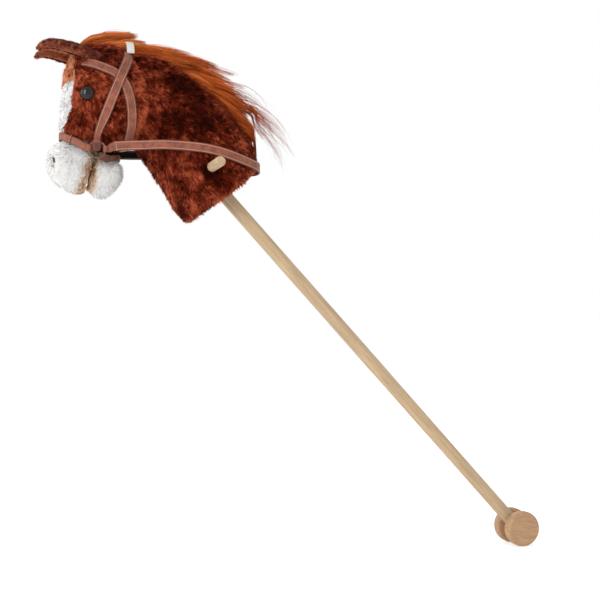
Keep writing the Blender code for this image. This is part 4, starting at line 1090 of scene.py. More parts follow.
def pile_tree():
    """Tree that plants tufts on a cover."""
    tree = bpy.data.node_groups.new("plush pile", "GeometryNodeTree")
    given = sockets(
        tree, ("Tuft", "Object", None), ("Pressed By", "Object", None), ("Density", "Float", 1e6),
        ("Length", "Float", 0.008), ("Width", "Float", 0.0012), ("Lean", "Float", 1.6),
        ("Ruffle", "Float", 1.0), ("Side", "Float", 0.0), ("Patch", "Float", 28.0),
        ("Contrast", "Float", 1.0), ("Seed", "Int", 1), ("Pile Material", "Material", None),
    )
    place = out(tree, "InputPosition")
    y = add(tree, "SeparateXYZ", {0: place}).outputs[1]
    here = maths(tree, "GREATER_THAN", times(tree, y, given["Side"]), -1e-9)
    density = times(tree, times(tree, given["Density"], named(tree, "cover")), here)
    spread = add(
        tree, "DistributePointsOnFaces",
        {"Mesh": given["Geometry"], "Density": density, "Seed": given["Seed"]}, distribute_method="RANDOM",
    )
    normal = spread.outputs["Normal"]
    clouds = out(tree, "TexNoise", {"Vector": place, "Scale": 55.0, "Detail": 2.0}, "Color")
    swirl = vectors(tree, "SUBTRACT", clouds, (0.5, 0.5, 0.5))
    ruffle = scaled(tree, swirl, times(tree, given["Ruffle"], 6.0))
    stray = out(
        tree, "RandomValue", {0: (-0.55, -0.55, -0.55), 1: (0.55, 0.55, 0.55), "Seed": 11},
        data_type="FLOAT_VECTOR",
    )
    lie = vectors(tree, "ADD", scaled(tree, named(tree, "groom", "FLOAT_VECTOR"), given["Lean"]), ruffle)
    level = scaled(tree, normal, vectors(tree, "DOT_PRODUCT", lie, normal, "Value"))
    flat = vectors(tree, "SUBTRACT", lie, level)
    way = vectors(tree, "ADD", vectors(tree, "ADD", flat, normal), stray)
    upright = out(tree, "AlignRotationToVector", {"Vector": way}, axis="Z")
    faced = out(
        tree, "AlignRotationToVector", {"Rotation": upright, "Vector": normal}, axis="Y", pivot_axis="Z"
    )
    roll = chance(tree, -0.9, 0.9, 12)
    rolled = out(tree, "AxisAngleToRotation", {"Axis": (0.0, 0.0, 1.0), "Angle": roll})
    turned = out(tree, "RotateRotation", {"Rotation": faced, "Rotate By": rolled}, rotation_space="LOCAL")
    pressing = out(tree, "ObjectInfo", {"Object": given["Pressed By"]}, "Geometry")
    clear = out(tree, "Proximity", {"Geometry": pressing}, "Distance", target_element="FACES")
    free = ranged(tree, clear, 0.26, 1.0, 0.0022, 0.0075)
    uneven = chance(tree, 0.7, 1.15, 13)
    long = times(tree, times(tree, given["Length"], named(tree, "lay")), uneven)
    long = times(tree, long, free)
    size = out(tree, "CombineXYZ", {0: given["Width"], 1: long, 2: long})
    patches = maths(tree, "SUBTRACT", noise_at(tree, place, given["Patch"], 3.0, 0.6), 0.5)
    spots = maths(tree, "SUBTRACT", noise_at(tree, place, 230.0, 2.0, 0.6), 0.5)
    shade = plus(tree, times(tree, patches, 1.6), times(tree, spots, 1.6))
    shade = times(tree, shade, given["Contrast"])
    odd = chance(tree, -0.16, 0.16, 14)
    shade = plus(tree, plus(tree, shade, odd), plus(tree, named(tree, "glow"), 0.5))
    tuft = out(tree, "ObjectInfo", {"Object": given["Tuft"]}, "Geometry")
    points = stored(tree, spread.outputs["Points"], "shade", maths(tree, "ADD", shade, 0.0, True))
    points = stored(tree, points, "cloth", normal, "FLOAT_VECTOR")
    planted = out(
        tree, "InstanceOnPoints", {"Points": points, "Instance": tuft, "Rotation": turned, "Scale": size}
    )
    with_map(tree, planted, named(tree, "shade"), named(tree, "along"), given["Pile Material"], "cloth")
    return tree


def grown(base, name, tree, inputs):
    """Plain piece that a tree makes from a base mesh."""
    piece = add_object(name, base)
    nodes = piece.modifiers.new("nodes", "NODES")
    nodes.node_group = tree
    for item in tree.interface.items_tree:
        if item.in_out == "INPUT" and item.name in inputs:
            nodes[item.identifier] = inputs[item.name]
    settle(piece)
    for extra in ("shade", "along", "groom", "cover", "lay", "glow", "cloth"):
        if extra in piece.data.attributes:
            piece.data.attributes.remove(piece.data.attributes[extra])
    if FUR_MAP in piece.data.uv_layers:
        piece.data.uv_layers[FUR_MAP].active_render = True
    return piece


# Straps


def strap_faces(
    controls, widths, skins, rest, under=(), closed=False, rise=(0.0, 0.0), thickness=STRAP_THICKNESS
):
    """Inner and outer face of a strap that lies on skins: rows of points across it, and the way out.

    Controls are (x, y, z, hug), where hug 0 is free and 1 lies on the skin.
    """
    path = evenly(through(controls, closed=closed), 0.004, closed)
    points = path[:, :3].copy()
    hug = np.clip(path[:, 3], 0.0, 1.0)
    count = len(points)

    def foot_of(point, share):
        if share <= 0.0:
            return point, None
        best = None
        for skin in skins:
            hit, normal, _, distance = skin.find_nearest(Vector(point))
            if best is None or distance < best[2]:
                best = (np.array(hit), np.array(normal), distance)
        return best[0] * share + point * (1 - share), best[1]

    outs = np.zeros((count, 3))
    for i in range(count):
        side = np.array((0.0, math.copysign(1.0, points[i, 1]), 0.0))
        points[i], normal = foot_of(points[i], hug[i])
        outs[i] = side if normal is None else normal * hug[i] + side * (1 - hug[i])
    outs = unit(averaged(unit(outs), closed, 6))
    points = averaged(points, closed, 2)
    if closed:
        along = unit(np.roll(points, -1, axis=0) - np.roll(points, 1, axis=0))
    else:
        along = unit(np.gradient(points, axis=0))
    across = unit(np.cross(outs, along))
    outs = unit(np.cross(along, across))
    width = spread_over(widths, count)
    heights = rest + spread_over(rise, count)
    feet = np.zeros((count, 5, 3))
    for i in range(count):
        for k, share in enumerate(COLUMNS):
            feet[i, k], _ = foot_of(points[i] + across[i] * width[i] * share, hug[i])
            for skin in under:
                start = Vector(feet[i, k] + outs[i] * PROBE)
                hit, _, _, distance = skin.ray_cast(start, Vector(-outs[i]), PROBE)
                if hit is not None:
                    heights[i] = max(heights[i], PROBE - distance + FIT)
    needed = heights.copy()
    for _ in range(3):
        back = np.roll(heights, 1) if closed else np.concatenate([heights[:1], heights[:-1]])
        ahead = np.roll(heights, -1) if closed else np.concatenate([heights[1:], heights[-1:]])
        heights = np.maximum(heights, np.maximum(back, ahead))
    heights = np.maximum(needed, averaged(heights[:, None], closed, 6)[:, 0])
    lift = heights * hug - thickness / 2 * (1 - hug)
    inner = feet + outs[:, None, :] * lift[:, None, None]
    inner = averaged(inner.reshape(count, 15), closed, 4).reshape(count, 5, 3)
    return inner, outs


def strap_mesh(name, inner, outs, thickness=STRAP_THICKNESS, closed=False, crown=0.0003):
    """Closed strap from its inner rows: leather outside, backing inside, rounded edges."""
    count, columns, _ = inner.shape
    bow = 1.0 - (2.0 * np.arange(columns) / (columns - 1) - 1.0) ** 2
    outer = inner + outs[:, None, :] * (thickness + crown * bow)[None, :, None]
    walk = np.linalg.norm(np.diff(inner[:, columns // 2], axis=0), axis=1)
    places = np.concatenate([[0.0], np.cumsum(walk)])
    total = places[-1] + float(np.linalg.norm(inner[0, columns // 2] - inner[-1, columns // 2]))
    bm = bmesh.new()
    strap = bm.loops.layers.uv.new("Strap")
    below = [[bm.verts.new(p) for p in row] for row in inner]
    above = [[bm.verts.new(p) for p in row] for row in outer]
    last = columns - 1

    def face(corners, values, slot):
        made = bm.faces.new(corners)
        made.material_index = slot
        made.smooth = True
        for loop, value in zip(made.loops, values):
            loop[strap].uv = value

    for i in range(count if closed else count - 1):
        j = (i + 1) % count
        u0 = places[i]
        u1 = places[j] if j else total
        for k in range(last):
            v0 = k / last
            v1 = (k + 1) / last
            box = ((u0, v0), (u1, v0), (u1, v1), (u0, v1))
            face((above[i][k], above[j][k], above[j][k + 1], above[i][k + 1]), box, 0)
            box = ((u0, v0), (u0, v1), (u1, v1), (u1, v0))
            face((below[i][k], below[i][k + 1], below[j][k + 1], below[j][k]), box, 1)
        for k, v in ((0, 0.0), (last, 1.0)):
            corners = (below[i][k], below[j][k], above[j][k], above[i][k])
            face(corners if k == 0 else corners[::-1], ((u0, v), (u1, v), (u1, v), (u0, v)), 0)
    if not closed:
        for i, u in ((0, 0.0), (count - 1, places[-1])):
            for k in range(last):
                corners = (below[i][k], above[i][k], above[i][k + 1], below[i][k + 1])
                box = ((u, 0.02), (u, 0.02), (u, 0.02), (u, 0.02))
                face(corners if i == 0 else corners[::-1], box, 0)
    face_out(bm)
    return mesh_from(bm, name), outer


def rounded(piece, width=0.00045):
    """Round a strap's long edges."""
    bevel = piece.modifiers.new("edge", "BEVEL")
    bevel.width = width
    bevel.segments = 2
    bevel.limit_method = "ANGLE"
    bevel.angle_limit = math.radians(50)
    settle(piece)
    piece.data.shade_smooth()
    return piece


def stitch():
    """One stitch lying along its own Z: a short thick thread, ends dipping in."""
    bm = bmesh.new()
    bmesh.ops.create_uvsphere(bm, u_segments=6, v_segments=4, radius=0.5)
    for vertex in bm.verts:
        vertex.co.z = math.copysign(abs(2 * vertex.co.z) ** 0.7 / 2, vertex.co.z)
        vertex.co.x -= 0.35 * (2 * vertex.co.z) ** 2
    return place_mesh(mesh_from(bm, "one_stitch"), "one_stitch")


def stitch_tree():
    """Tree that lays stitches along lines, on the side that their points call out."""
    tree = bpy.data.node_groups.new("stitching", "GeometryNodeTree")
    given = sockets(
        tree, ("Stitch", "Object", None), ("Pitch", "Float", 0.003), ("Stitch Length", "Float", 0.002),
        ("Thread", "Float", 0.0005), ("Thread Material", "Material", None),
    )
    line = out(tree, "MeshToCurve", {"Mesh": given["Geometry"]})
    dots = tree.nodes.new("GeometryNodeCurveToPoints")
    dots.mode = "LENGTH"
    tree.links.new(line, dots.inputs["Curve"])
    tree.links.new(given["Pitch"], dots.inputs["Length"])
    way = out(tree, "AlignRotationToVector", {"Vector": dots.outputs["Tangent"]}, axis="Z")
    faced = out(
        tree, "AlignRotationToVector", {"Rotation": way, "Vector": named(tree, "out", "FLOAT_VECTOR")},
        axis="X", pivot_axis="Z",
    )
    size = out(tree, "CombineXYZ", {0: given["Thread"], 1: given["Thread"], 2: given["Stitch Length"]})
    one = out(tree, "ObjectInfo", {"Object": given["Stitch"]}, "Geometry")
    sewn = out(
        tree, "InstanceOnPoints",
        {"Points": dots.outputs["Points"], "Instance": one, "Rotation": faced, "Scale": size},
    )
    real = out(tree, "RealizeInstances", {"Geometry": sewn})
    finished = out(tree, "SetMaterial", {"Geometry": real, "Material": given["Thread Material"]})
    tree.links.new(finished, tree.nodes.new("NodeGroupOutput").inputs[0])
    return tree


def line_mesh(name, lines):
    """Open lines as edges. Each is (points, ways out)."""
    points = []
    ways = []
    edges = []
    for rows, outs in lines:
        start = len(points)
        points += [tuple(p) for p in rows]
        ways += [tuple(w) for w in outs]
        edges += [(start + i, start + i + 1) for i in range(len(rows) - 1)]
    mesh = bpy.data.meshes.new(name)
    mesh.from_pydata(points, edges, [])
    write_attribute(mesh, "out", "FLOAT_VECTOR", np.array(ways))
    return mesh


def edge_lines(outer, outs, closed=False, trim=0, back=False):
    """Stitch lines along both edges of a strap's face."""
    inset = bpy.context.scene.horse_strap.inset
    lines = []
    for first, last in ((0, -1), (-1, 0)):
        across = outer[:, last] - outer[:, first]
        share = inset / np.maximum(np.linalg.norm(across, axis=1, keepdims=True), 1e-9)
        rows = outer[:, first] + across * share
        for flip in ((1.0, -1.0) if back else (1.0,)):
            line = rows + outs * flip * (STITCH_LIFT if flip > 0 else STRAP_THICKNESS + STITCH_LIFT)
            ways = outs * flip
            if closed:
                line = np.vstack([line, line[:1]])
                ways = np.vstack([ways, ways[:1]])
            elif trim:
                line = line[trim:-trim]
                ways = ways[trim:-trim]
            lines.append((line, ways))
    return lines


def sew(name, lines, body):
    """Stitches along lines, as one piece."""
    sizes = bpy.context.scene.horse_strap
    tree = bpy.data.node_groups.get("stitching") or stitch_tree()
    one = stitch()
    inputs = {
        "Stitch": one, "Pitch": sizes.pitch, "Stitch Length": sizes.stitch, "Thread": sizes.thread,
        "Thread Material": material_for("thread"),
    }
    piece = grown(line_mesh(name, lines), name, tree, inputs)
    drop(one)
    piece.data.shade_smooth()
    return done(piece, body)


def ring_point(sign, degrees, radius=RING_RADIUS):
    """Place on or off a ring's wire, by its angle in side view."""
    turn = math.radians(degrees)
    return RING_AT[0] + radius * math.cos(turn), sign * RING_SIDE, RING_AT[1] + radius * math.sin(turn)


def on_side(sign, half):
    """A half path laid on one side."""
    return [(x, sign * side, z, hug) for x, side, z, hug in half]


def ring_to_ring(degrees, lead, half):
    """Path from one ring to the other, by a half path that ends in the middle."""
    first = [(*ring_point(-1.0, degrees), 0.0), (*ring_point(-1.0, degrees, RING_RADIUS * lead), 0.0)]
    first += on_side(-1.0, half[:-1])
    return first + [half[-1]] + [(x, -y, z, hug) for x, y, z, hug in first[::-1]]


def sleeve_mesh(sign, degrees):
    """Strap end folded round the ring's wire, a short thick tube."""
    turn = math.radians(degrees)
    tangent = Vector((-math.sin(turn), 0.0, math.cos(turn)))
    matrix = tangent.to_track_quat("Z", "Y").to_matrix().to_4x4()
    matrix.translation = ring_point(sign, degrees)
    inner = RING_WIRE / 2 + FIT
    outer = inner + STRAP_THICKNESS
    half = LOOP_WIDTH / 2
    soft = 0.0005
    profile = [(inner, -half + soft)] + arc((inner + soft, -half + soft), soft, 180, 270, 2)
    profile += arc((outer - soft, -half + soft), soft, 270, 360, 2)
    profile += arc((outer - soft, half - soft), soft, 0, 90, 2)
    profile += arc((inner + soft, half - soft), soft, 90, 180, 2)
    profile.append(profile[0])
    piece = lathe("sleeve", profile, matrix, "leather", 24)
    layer = piece.data.uv_layers.new(name="Strap")
    for loop in layer.data:
        loop.uv = (0.0, 0.5)
    return taken(piece)


def knot_mesh(sign):
    """Folded and sewn end of a cheek strap, inside the upper half of its ring."""
    bm = bmesh.new()
    bmesh.ops.create_cube(bm, size=1.0)
    bmesh.ops.subdivide_edges(bm, edges=bm.edges[:], cuts=1, use_grid_fill=True)
    for vertex in bm.verts:
        lower = vertex.co.z < 0
        vertex.co.x = vertex.co.x * (0.0100 if lower else 0.0125) - 0.0008
        vertex.co.y *= 0.0058
        vertex.co.z = vertex.co.z * 0.0150 + 0.0050
    strap = bm.loops.layers.uv.new("Strap")
    for face in bm.faces:
        for loop in face.loops:
            loop[strap].uv = (loop.vert.co.z, 0.5)
        # The knot takes the third finish, the darker leather with painted shade
        face.material_index = 2
    bmesh.ops.translate(bm, verts=bm.verts, vec=(RING_AT[0], sign * RING_SIDE, RING_AT[1]))
    return taken(settle(subdivide(place_mesh(mesh_from(bm, "knot"), "knot"), 2)))


def joined(name, meshes, *finishes):
    """One piece from several meshes."""
    return place_mesh(mesh_from(opened(*meshes), name), name, *finishes)


MADE = {}


def material_for(finish):
    """The material of a finish, made once."""
    if finish in MADE:
        return MADE[finish]
    scene = bpy.context.scene
    plush = scene.horse_plush
    hair = scene.horse_mane
    strap = scene.horse_strap
    wood = scene.horse_wood
    metal = scene.horse_metal
    lean = (0.0, STICK_LEAN, 0.0)
    across = (0.0, 0.0, 0.0)
    brown = ((0.0, plush.dark), (0.38, plush.middle), (0.72, plush.light), (1.0, shaded(plush.light, 1.35)))
    ear = ((0.0, (0.045, 0.009, 0.005)), (0.4, (0.20, 0.038, 0.021)), (1.0, (0.64, 0.22, 0.11)))
    tan = ((0.0, (0.42, 0.12, 0.045)), (0.45, (0.74, 0.30, 0.14)), (1.0, (0.92, 0.52, 0.32)))
    white = (
        (0.0, (0.68, 0.43, 0.26)), (0.12, (0.80, 0.58, 0.40)), (0.24, (0.90, 0.79, 0.67)),
        (0.32, plush.grey), (0.45, plush.white), (1.0, (0.955, 0.95, 0.94)),
    )
    mane = ((0.0, hair.dark), (0.5, hair.middle), (1.0, hair.light))
    makers = {
        # The brown backing is darker than the pile: painted shade deep between the tufts
        "brown_backing": (backing_look, "brown backing", plush.dark, shaded(plush.middle, 0.7), 30.0),
        "white_backing": (backing_look, "white backing", plush.grey, plush.white, 40.0),
        "brown_pile": (pile_look, "brown pile", brown, 0.35, 1.0, 0.6, 0.10, (0.9, 0.35, 0.2)),
        "ear_pile": (pile_look, "ear pile", ear, 0.5),
        "tan_pile": (pile_look, "tan pile", tan, 0.6),
        "white_pile": (pile_look, "white pile", white, 0.92),
        "hair": (pile_look, "mane hair", mane, 0.80, 0.55, 0.5, 0.16, (1.0, 0.6, 0.4)),
        "lip": (felt_look, "lip edge", (0.50, 0.26, 0.13)),
        "peach": (felt_look, "peach lining", plush.peach),
        "tan": (felt_look, "ear lining", plush.tan),
        "nose": (felt_look, "nostril thread", (0.13, 0.10, 0.09)),
        "leather": (leather_look, "strap leather", strap.leather),
        # A darker copy of the strap leather: painted shade, for the chin strap and the knots at the rings
        "dark_leather": (leather_look, "worn leather", shaded(strap.leather, 0.48)),
        "strap_back": (webbing_look, "strap backing", strap.backing),
        "webbing": (webbing_look, "white webbing", (0.84, 0.82, 0.78)),
        "tape": (webbing_look, "mane tape", (0.30, 0.09, 0.03)),
        "thread": (thread_look, "cream thread", strap.stitching),
        "stick": (wood_look, "beech stick", wood.stick, wood.fleck, lean, (260.0, 260.0, 14.0)),
        "bar": (wood_look, "beech bar", wood.stick, wood.fleck, across, (260.0, 14.0, 260.0)),
        "wheel": (wood_look, "beech wheel", wood.wheel, wood.fleck, across, (60.0, 420.0, 300.0)),
        "metal": (metal_look, "dark nickel", metal.metal),
        "eye": (gloss_look, "black eye", metal.eye),
        "washer": (felt_look, "washer plastic", (0.75, 0.75, 0.72)),
    }
    maker, *given = makers[finish]
    MADE[finish] = maker(*given)
    return MADE[finish]


# Operators


def shown(tree):
    """1 for what the camera sees, straight or mirrored, and 0 for plain light."""
    seen = add(tree, "LightPath").outputs
    bent = maths(tree, "MAXIMUM", seen["Is Glossy Ray"], seen["Is Transmission Ray"])
    return maths(tree, "MAXIMUM", seen["Is Camera Ray"], bent)


def aimed(name, data, place, target):
    """Add a camera or lamp that looks at a place."""
    piece = add_object(name, data)
    piece.location = place
    piece.rotation_mode = "QUATERNION"
    piece.rotation_quaternion = (Vector(target) - piece.location).to_track_quat("-Z", "Y")
    return piece


class HORSE_OT_stage(bpy.types.Operator):
    """Camera, floor, lamps and sky"""

    bl_idname = "horse.stage"
    bl_label = "Stage"

    def execute(self, context):
        sizes = context.scene.horse_stage
        scene = context.scene
        scene.view_settings.view_transform = "Standard"
        lens = bpy.data.cameras.new("camera")
        lens.lens = LENS
        lens.sensor_width = 36.0
        scene.camera = aimed("camera", lens, CAMERA_AT, LOOKED_AT)

        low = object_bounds()[0].z
        bm = bmesh.new()
        bmesh.ops.create_grid(bm, x_segments=2, y_segments=2, size=6.0)
        material, tree, shader = look("pale floor", 0.9, Specular_IOR_Level=0.0)
        shader.inputs["Base Color"].default_value = (*sizes.floor, 1.0)
        glow = out(tree, "Emission", {"Color": WHITE, "Strength": times(tree, shown(tree), 0.5)})
        both = out(tree, "AddShader", {0: shader.outputs[0], 1: glow})
        tree.links.new(both, tree.nodes["Material Output"].inputs["Surface"])
        floor = place_mesh(mesh_from(bm, "floor"), "floor")
        floor.data.materials.append(material)
        floor.data.transform(Matrix.Translation((0.1, 0.0, low - 0.0002)))
        floor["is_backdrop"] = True

        lamps = (
            ("key lamp", (-1.95, -1.8, 0.6), sizes.key, 0.9, 1.8),
            ("side lamp", (-2.4, 0.1, 0.6), sizes.side, 1.0, 1.6),
            ("fill lamp", (1.9, -1.6, 0.8), sizes.fill, 1.3, 1.3),
            ("rear lamp", (0.3, 2.0, 1.6), sizes.rear, 1.3, 1.3),
        )
        for name, at, power, wide, tall in lamps:
            lamp = bpy.data.lights.new(name, "AREA")
            lamp.energy = power
            lamp.shape = "RECTANGLE"
            lamp.size = wide
            lamp.size_y = tall
            aimed(name, lamp, at, (0.0, 0.0, -0.1))
        world = bpy.data.worlds.new("studio")
        world.use_nodes = True
        tree = world.node_tree
        tree.nodes.clear()
        strength = ranged(tree, shown(tree), sizes.sky, 1.0)
        sky = out(tree, "Background", {"Color": WHITE, "Strength": strength})
        add(tree, "OutputWorld", {"Surface": sky})
        scene.world = world
        return {"FINISHED"}


def rod(radius, half, edge):
    """Outline of a rod with rounded ends."""
    outline = [(0.0, half)] + arc((radius - edge, half - edge), edge, 90, 0, 4)
    return outline + arc((radius - edge, edge - half), edge, 0, -90, 4) + [(0.0, -half)]


class HORSE_OT_wood(bpy.types.Operator):
    """Stick, handle bar, axle and wheels"""

    bl_idname = "horse.wood"
    bl_label = "Wooden parts"

    def execute(self, context):
        whole = STICK_ABOVE_GRIP + GRIP_TO_AXLE + STICK_BELOW_AXLE
        middle = Matrix.Translation(DOWN_STICK * (whole / 2 - STICK_ABOVE_GRIP)) @ STICK_TURN
        inner = STICK_DIAMETER / 2 + WHEEL_PLAY
        at_axle = Matrix.Translation(AXLE_AT) @ LYING
        rods = (
            ("stick", "horse", STICK_DIAMETER, whole / 2, 0.0022, middle, "stick", 64),
            ("handle_bar", "horse", BAR_DIAMETER, BAR_LENGTH / 2, 0.0018, LYING, "bar", 64),
            ("axle", "wheel_set", AXLE_DIAMETER, inner + AXLE_SEAT, 0.0004, at_axle, "bar", 32),
        )
        for node, body, diameter, half, edge, matrix, finish, steps in rods:
            piece = lathe(node + "_turned", rod(diameter / 2, half, edge), matrix, finish, steps)
            done(piece, body, [node])
        radius = WHEEL_DIAMETER / 2
        half = WHEEL_WIDTH / 2
        rim = context.scene.horse_wood.rim
        bore = AXLE_DIAMETER / 2 + FIT
        depth = AXLE_SEAT + FIT - half
        profile = [(0.0, half)] + arc((radius - rim, half - rim), rim, 90, 0, 8)
        profile += arc((radius - rim, rim - half), rim, 0, -90, 8)
        profile += [(bore, -half), (bore, depth), (0.0, depth)]
        for side in SIDES:
            sign = sign_of(side)
            turn = Matrix.Rotation(-sign * math.radians(90), 4, "X")
            at = Matrix.Translation(AXLE_AT + Vector((0.0, sign * (inner + half), 0.0)))
            wheel = lathe("wheel_turned_" + side, profile, at @ turn, "wheel", 96)
            done(wheel, "wheel_set", ["wheel_" + side])
        return {"FINISHED"}


def neck_seams(point):
    """Held along the crest, the throat and the base."""
    return abs(point[1]) < 0.0035 or abs((Vector(point) - BASE_AT).dot(BASE_OUT)) < 0.0045


def head_seams(point):
    """Held along the crown, the chin and the blaze's two seams."""
    crown = point[0] > -0.155 and abs(point[1]) < 0.0035
    return crown or abs(point[0] - seam_at(point[2])) < 0.003


def muzzle_seams(point):
    """Held along the middle, the side seam and the mouth."""
    side = abs(point[0] + 0.1755 - 0.12 * point[2]) < 0.003
    return abs(point[1]) < 0.003 or side or along_mouth(point)[0] > -0.005


def jaw_seams(point):
    """Held along the middle and the mouth."""
    return abs(point[1]) < 0.003 or along_mouth(point)[0] < 0.005


# Broad darker and lighter places of the pile, as (x, z, reach, amount): painted shade and light where the
# neck and head lie in shade or catch the light, together with the pile's own mottling
NECK_SPOTS = (
    (-0.066, 0.126, 0.022, 0.02),
    (-0.040, 0.096, 0.034, -0.32),
    (-0.015, 0.060, 0.036, -0.30),
    (-0.050, 0.050, 0.026, -0.20),
    (0.010, 0.010, 0.030, -0.10),
    (-0.078, 0.045, 0.018, 0.10),
    (-0.050, -0.012, 0.020, 0.04),
    (0.015, -0.012, 0.026, -0.14),
    (0.045, 0.030, 0.020, 0.06),
    (-0.015, -0.045, 0.022, -0.02),
)
HEAD_SPOTS = (
    (-0.168, 0.062, 0.016, -0.22),
    (-0.130, 0.045, 0.020, -0.14),
    (-0.150, 0.100, 0.016, -0.02),
    (-0.125, 0.140, 0.022, -0.20),
)


def finish_neck(neck, head):
    """Store the neck's lie and shades."""
    rows = coordinates(neck.data)
    base = (rows - np.array(BASE_AT)) @ np.array(BASE_OUT)
    on_base = base > -0.0012
    flow = np.where(on_base[:, None], (0.3, 0.0, 0.3), (0.55, 0.0, -0.80))
    lay = np.where(on_base, 0.55, 1.0)
    x = rows[:, 0] - RING_AT[0]
    z = rows[:, 2] - RING_AT[1]
    angle = np.degrees(np.arctan2(z, x))
    # Shorter pile where the rein passes as it is lifted
    swept = (angle > -9) & (angle < 21) & (rows[:, 0] > -0.12)
    lay = np.where(swept & (np.hypot(x, z) > 0.17), lay * 0.62, lay)
    lay = np.where(swept, np.minimum(lay, 0.85), lay)
    ridge = np.interp(rows[:, 0], [m[0] for m in MANE_FLOW], [m[1] for m in MANE_FLOW])
    # Painted highlights: the pile is lighter along the crest under the mane, and along the edge of the base
    glow = 0.40 * np.clip(1.0 - (ridge - rows[:, 2]) / 0.010, 0.0, 1.0)
    glow += 0.22 * near(base, 0.0, 0.010) * ~on_base
    add_spots(glow, rows, NECK_SPOTS)
    # Painted shade: a dark ring round the handle bar where it goes into the neck
    glow -= 0.55 * near(np.hypot(rows[:, 0], rows[:, 2]), BAR_DIAMETER / 2, 0.0075)
    groomed(neck, flow, free_of(rows, skin_of(head.data)), lay, glow - 0.04)
    painted(neck, "brown_backing")
    nodes = ["neck_side_left", "neck_side_right", "neck_base_panel", "neck_stuffing"]
    done(neck, "horse", nodes)


def finish_head(head, neck, muzzle):
    """Part the head into brown and white panels, and store their lie and shades."""
    bm = opened(head.data)
    levels = [BLAZE_TOP] + [z for _, z in GUSSET_SEAM[1:-1]]
    cuts = [(side_point((0.0, z)), Vector((0.0, 0.0, 1.0)), -1.0, 1.0) for z in levels]
    for low, high in zip(GUSSET_SEAM, GUSSET_SEAM[1:]):
        along = side_point(high) - side_point(low)
        cuts.append((side_point(low), Vector((along.z, 0.0, -along.x)).normalized(), low[1], high[1]))
    for at, normal, low, high in cuts:
        middles = [(f, f.calc_center_median()) for f in bm.faces]
        faces = [f for f, middle in middles if middle.x < -0.15 and low < middle.z < high]
        geometry = list({v for f in faces for v in f.verts}) + list({e for f in faces for e in f.edges})
        bmesh.ops.bisect_plane(bm, geom=geometry + faces, dist=1e-6, plane_co=at, plane_no=normal)
    written(bm, head.data)
    skins = [skin_of(neck.data), skin_of(muzzle.data)]
    panels = []
    for name in ("head_cover", "blaze_cover", "forehead_cover"):
        bm = opened(head.data)
        gone = [f for f in bm.faces if panel_at(f.calc_center_median()) != name]
        bmesh.ops.delete(bm, geom=gone, context="FACES")
        panels.append(mesh_from(bm, name))
    head.data = panels[0]
    blaze = place_mesh(panels[1], "blaze_cover")
    forehead = place_mesh(panels[2], "forehead_cover")
    for piece in (head, blaze, forehead):
        rows = coordinates(piece.data)
        glow = np.full(len(rows), 0.30)
        if piece != blaze:
            # The head pile is painted lighter towards the neck at its rear edge, along the gusset seam and
            # over its top: painted highlights; the spots add painted shade and light
            glow = 0.40 * np.clip(1.0 - depths(skins[0], rows) / 0.014, 0.0, 1.0)
            glow += 0.10 * (piece == forehead) - 0.03
            glow += 0.14 * near(seam_at(rows[:, 2]) - rows[:, 0], -0.004, 0.010)
            glow += 0.42 * np.clip((rows[:, 2] - 0.1490) / 0.007, 0.0, 1.0)
            add_spots(glow, rows, HEAD_SPOTS)
        lay = np.full(len(rows), 0.7 if piece == blaze else 1.0)
        groomed(piece, (0.50, 0.0, -0.85), free_of(rows, *skins), lay, glow)
        painted(piece, "white_backing" if piece == blaze else "brown_backing").data.shade_smooth()
    done(head, "horse", ["head_side_left", "head_side_right", "head_stuffing"])
    done(blaze, "horse", ["blaze_panel"])
    done(forehead, "horse", ["forehead_panel"])


def panel_at(point):
    """Which panel of the head a place belongs to."""
    if point.x > seam_at(point.z):
        return "head_cover"
    return "blaze_cover" if point.z < BLAZE_TOP else "forehead_cover"


def finish_snout(piece, head, node, way, flow, edge, soft):
    """Store the lie and shades of the muzzle or the jaw. The way leads off the mouth, along X."""
    rows = coordinates(piece.data)
    away = way * np.array([along_mouth(p)[0] for p in rows])
    cover = free_of(rows, skin_of(head.data)) * np.clip((away - 0.0020) / 0.0010, 0.0, 1.0)
    seam = near(rows[:, 0] - 0.12 * rows[:, 2], -0.1755, 0.004) * (node == "muzzle")
    lip = np.clip((edge - away) / soft, 0.0, 1.0)
    # Along the muzzle's side seam the pile is painted darker: painted shade in its crease. Near the lips it
    # turns peach.
    groomed(piece, flow, cover, (1.0 - 0.45 * seam) * (1.0 - 0.25 * lip), -0.05 * seam - 0.46 * lip)
    painted(piece, "white_backing", "lip")
    for face in piece.data.polygons:
        face.material_index = int(abs(along_mouth(face.center)[0]) < 0.006)
    done(piece, "horse", [node])


class HORSE_OT_covers(bpy.types.Operator):
    """Stuffed neck, head, muzzle and jaw"""

    bl_idname = "horse.covers"
    bl_label = "Stuffed covers"

    def execute(self, context):
        forms = (
            ("neck_cover", NECK_RINGS, NECK_HALF_WIDTH),
            ("head_cover", HEAD_RINGS, HEAD_HALF_WIDTH),
            ("muzzle_cover", MUZZLE_RINGS, MUZZLE_HALF_WIDTH),
            ("jaw_cover", JAW_RINGS, JAW_HALF_WIDTH),
        )
        room = context.scene.horse_plush.sink
        neck, head, muzzle, jaw = [sunk(ring_form(rings, half, name), room) for name, rings, half in forms]
        cut_flat(neck, BASE_AT, BASE_OUT)
        for piece, outward in ((muzzle, 1.0), (jaw, -1.0)):
            top = side_point(mouth_line(0.0, -outward * 0.0004))
            low = side_point(mouth_line(1.0, -outward * 0.0008))
            along = (low - top).normalized()
            cut_flat(piece, top, Vector((-along.z, 0.0, along.x)) * outward)
        seams = (neck_seams, head_seams, muzzle_seams, jaw_seams)
        for piece, held in zip((neck, head, muzzle, jaw), seams):
            stuff(piece, held)
        finish_neck(neck, head)
        finish_snout(muzzle, head, "muzzle", -1.0, (-0.55, 0.0, -0.70), 0.0165, 0.0120)
        finish_snout(jaw, head, "jaw", 1.0, (0.35, 0.0, -0.90), 0.0130, 0.0085)
        finish_head(head, neck, muzzle)
        return {"FINISHED"}


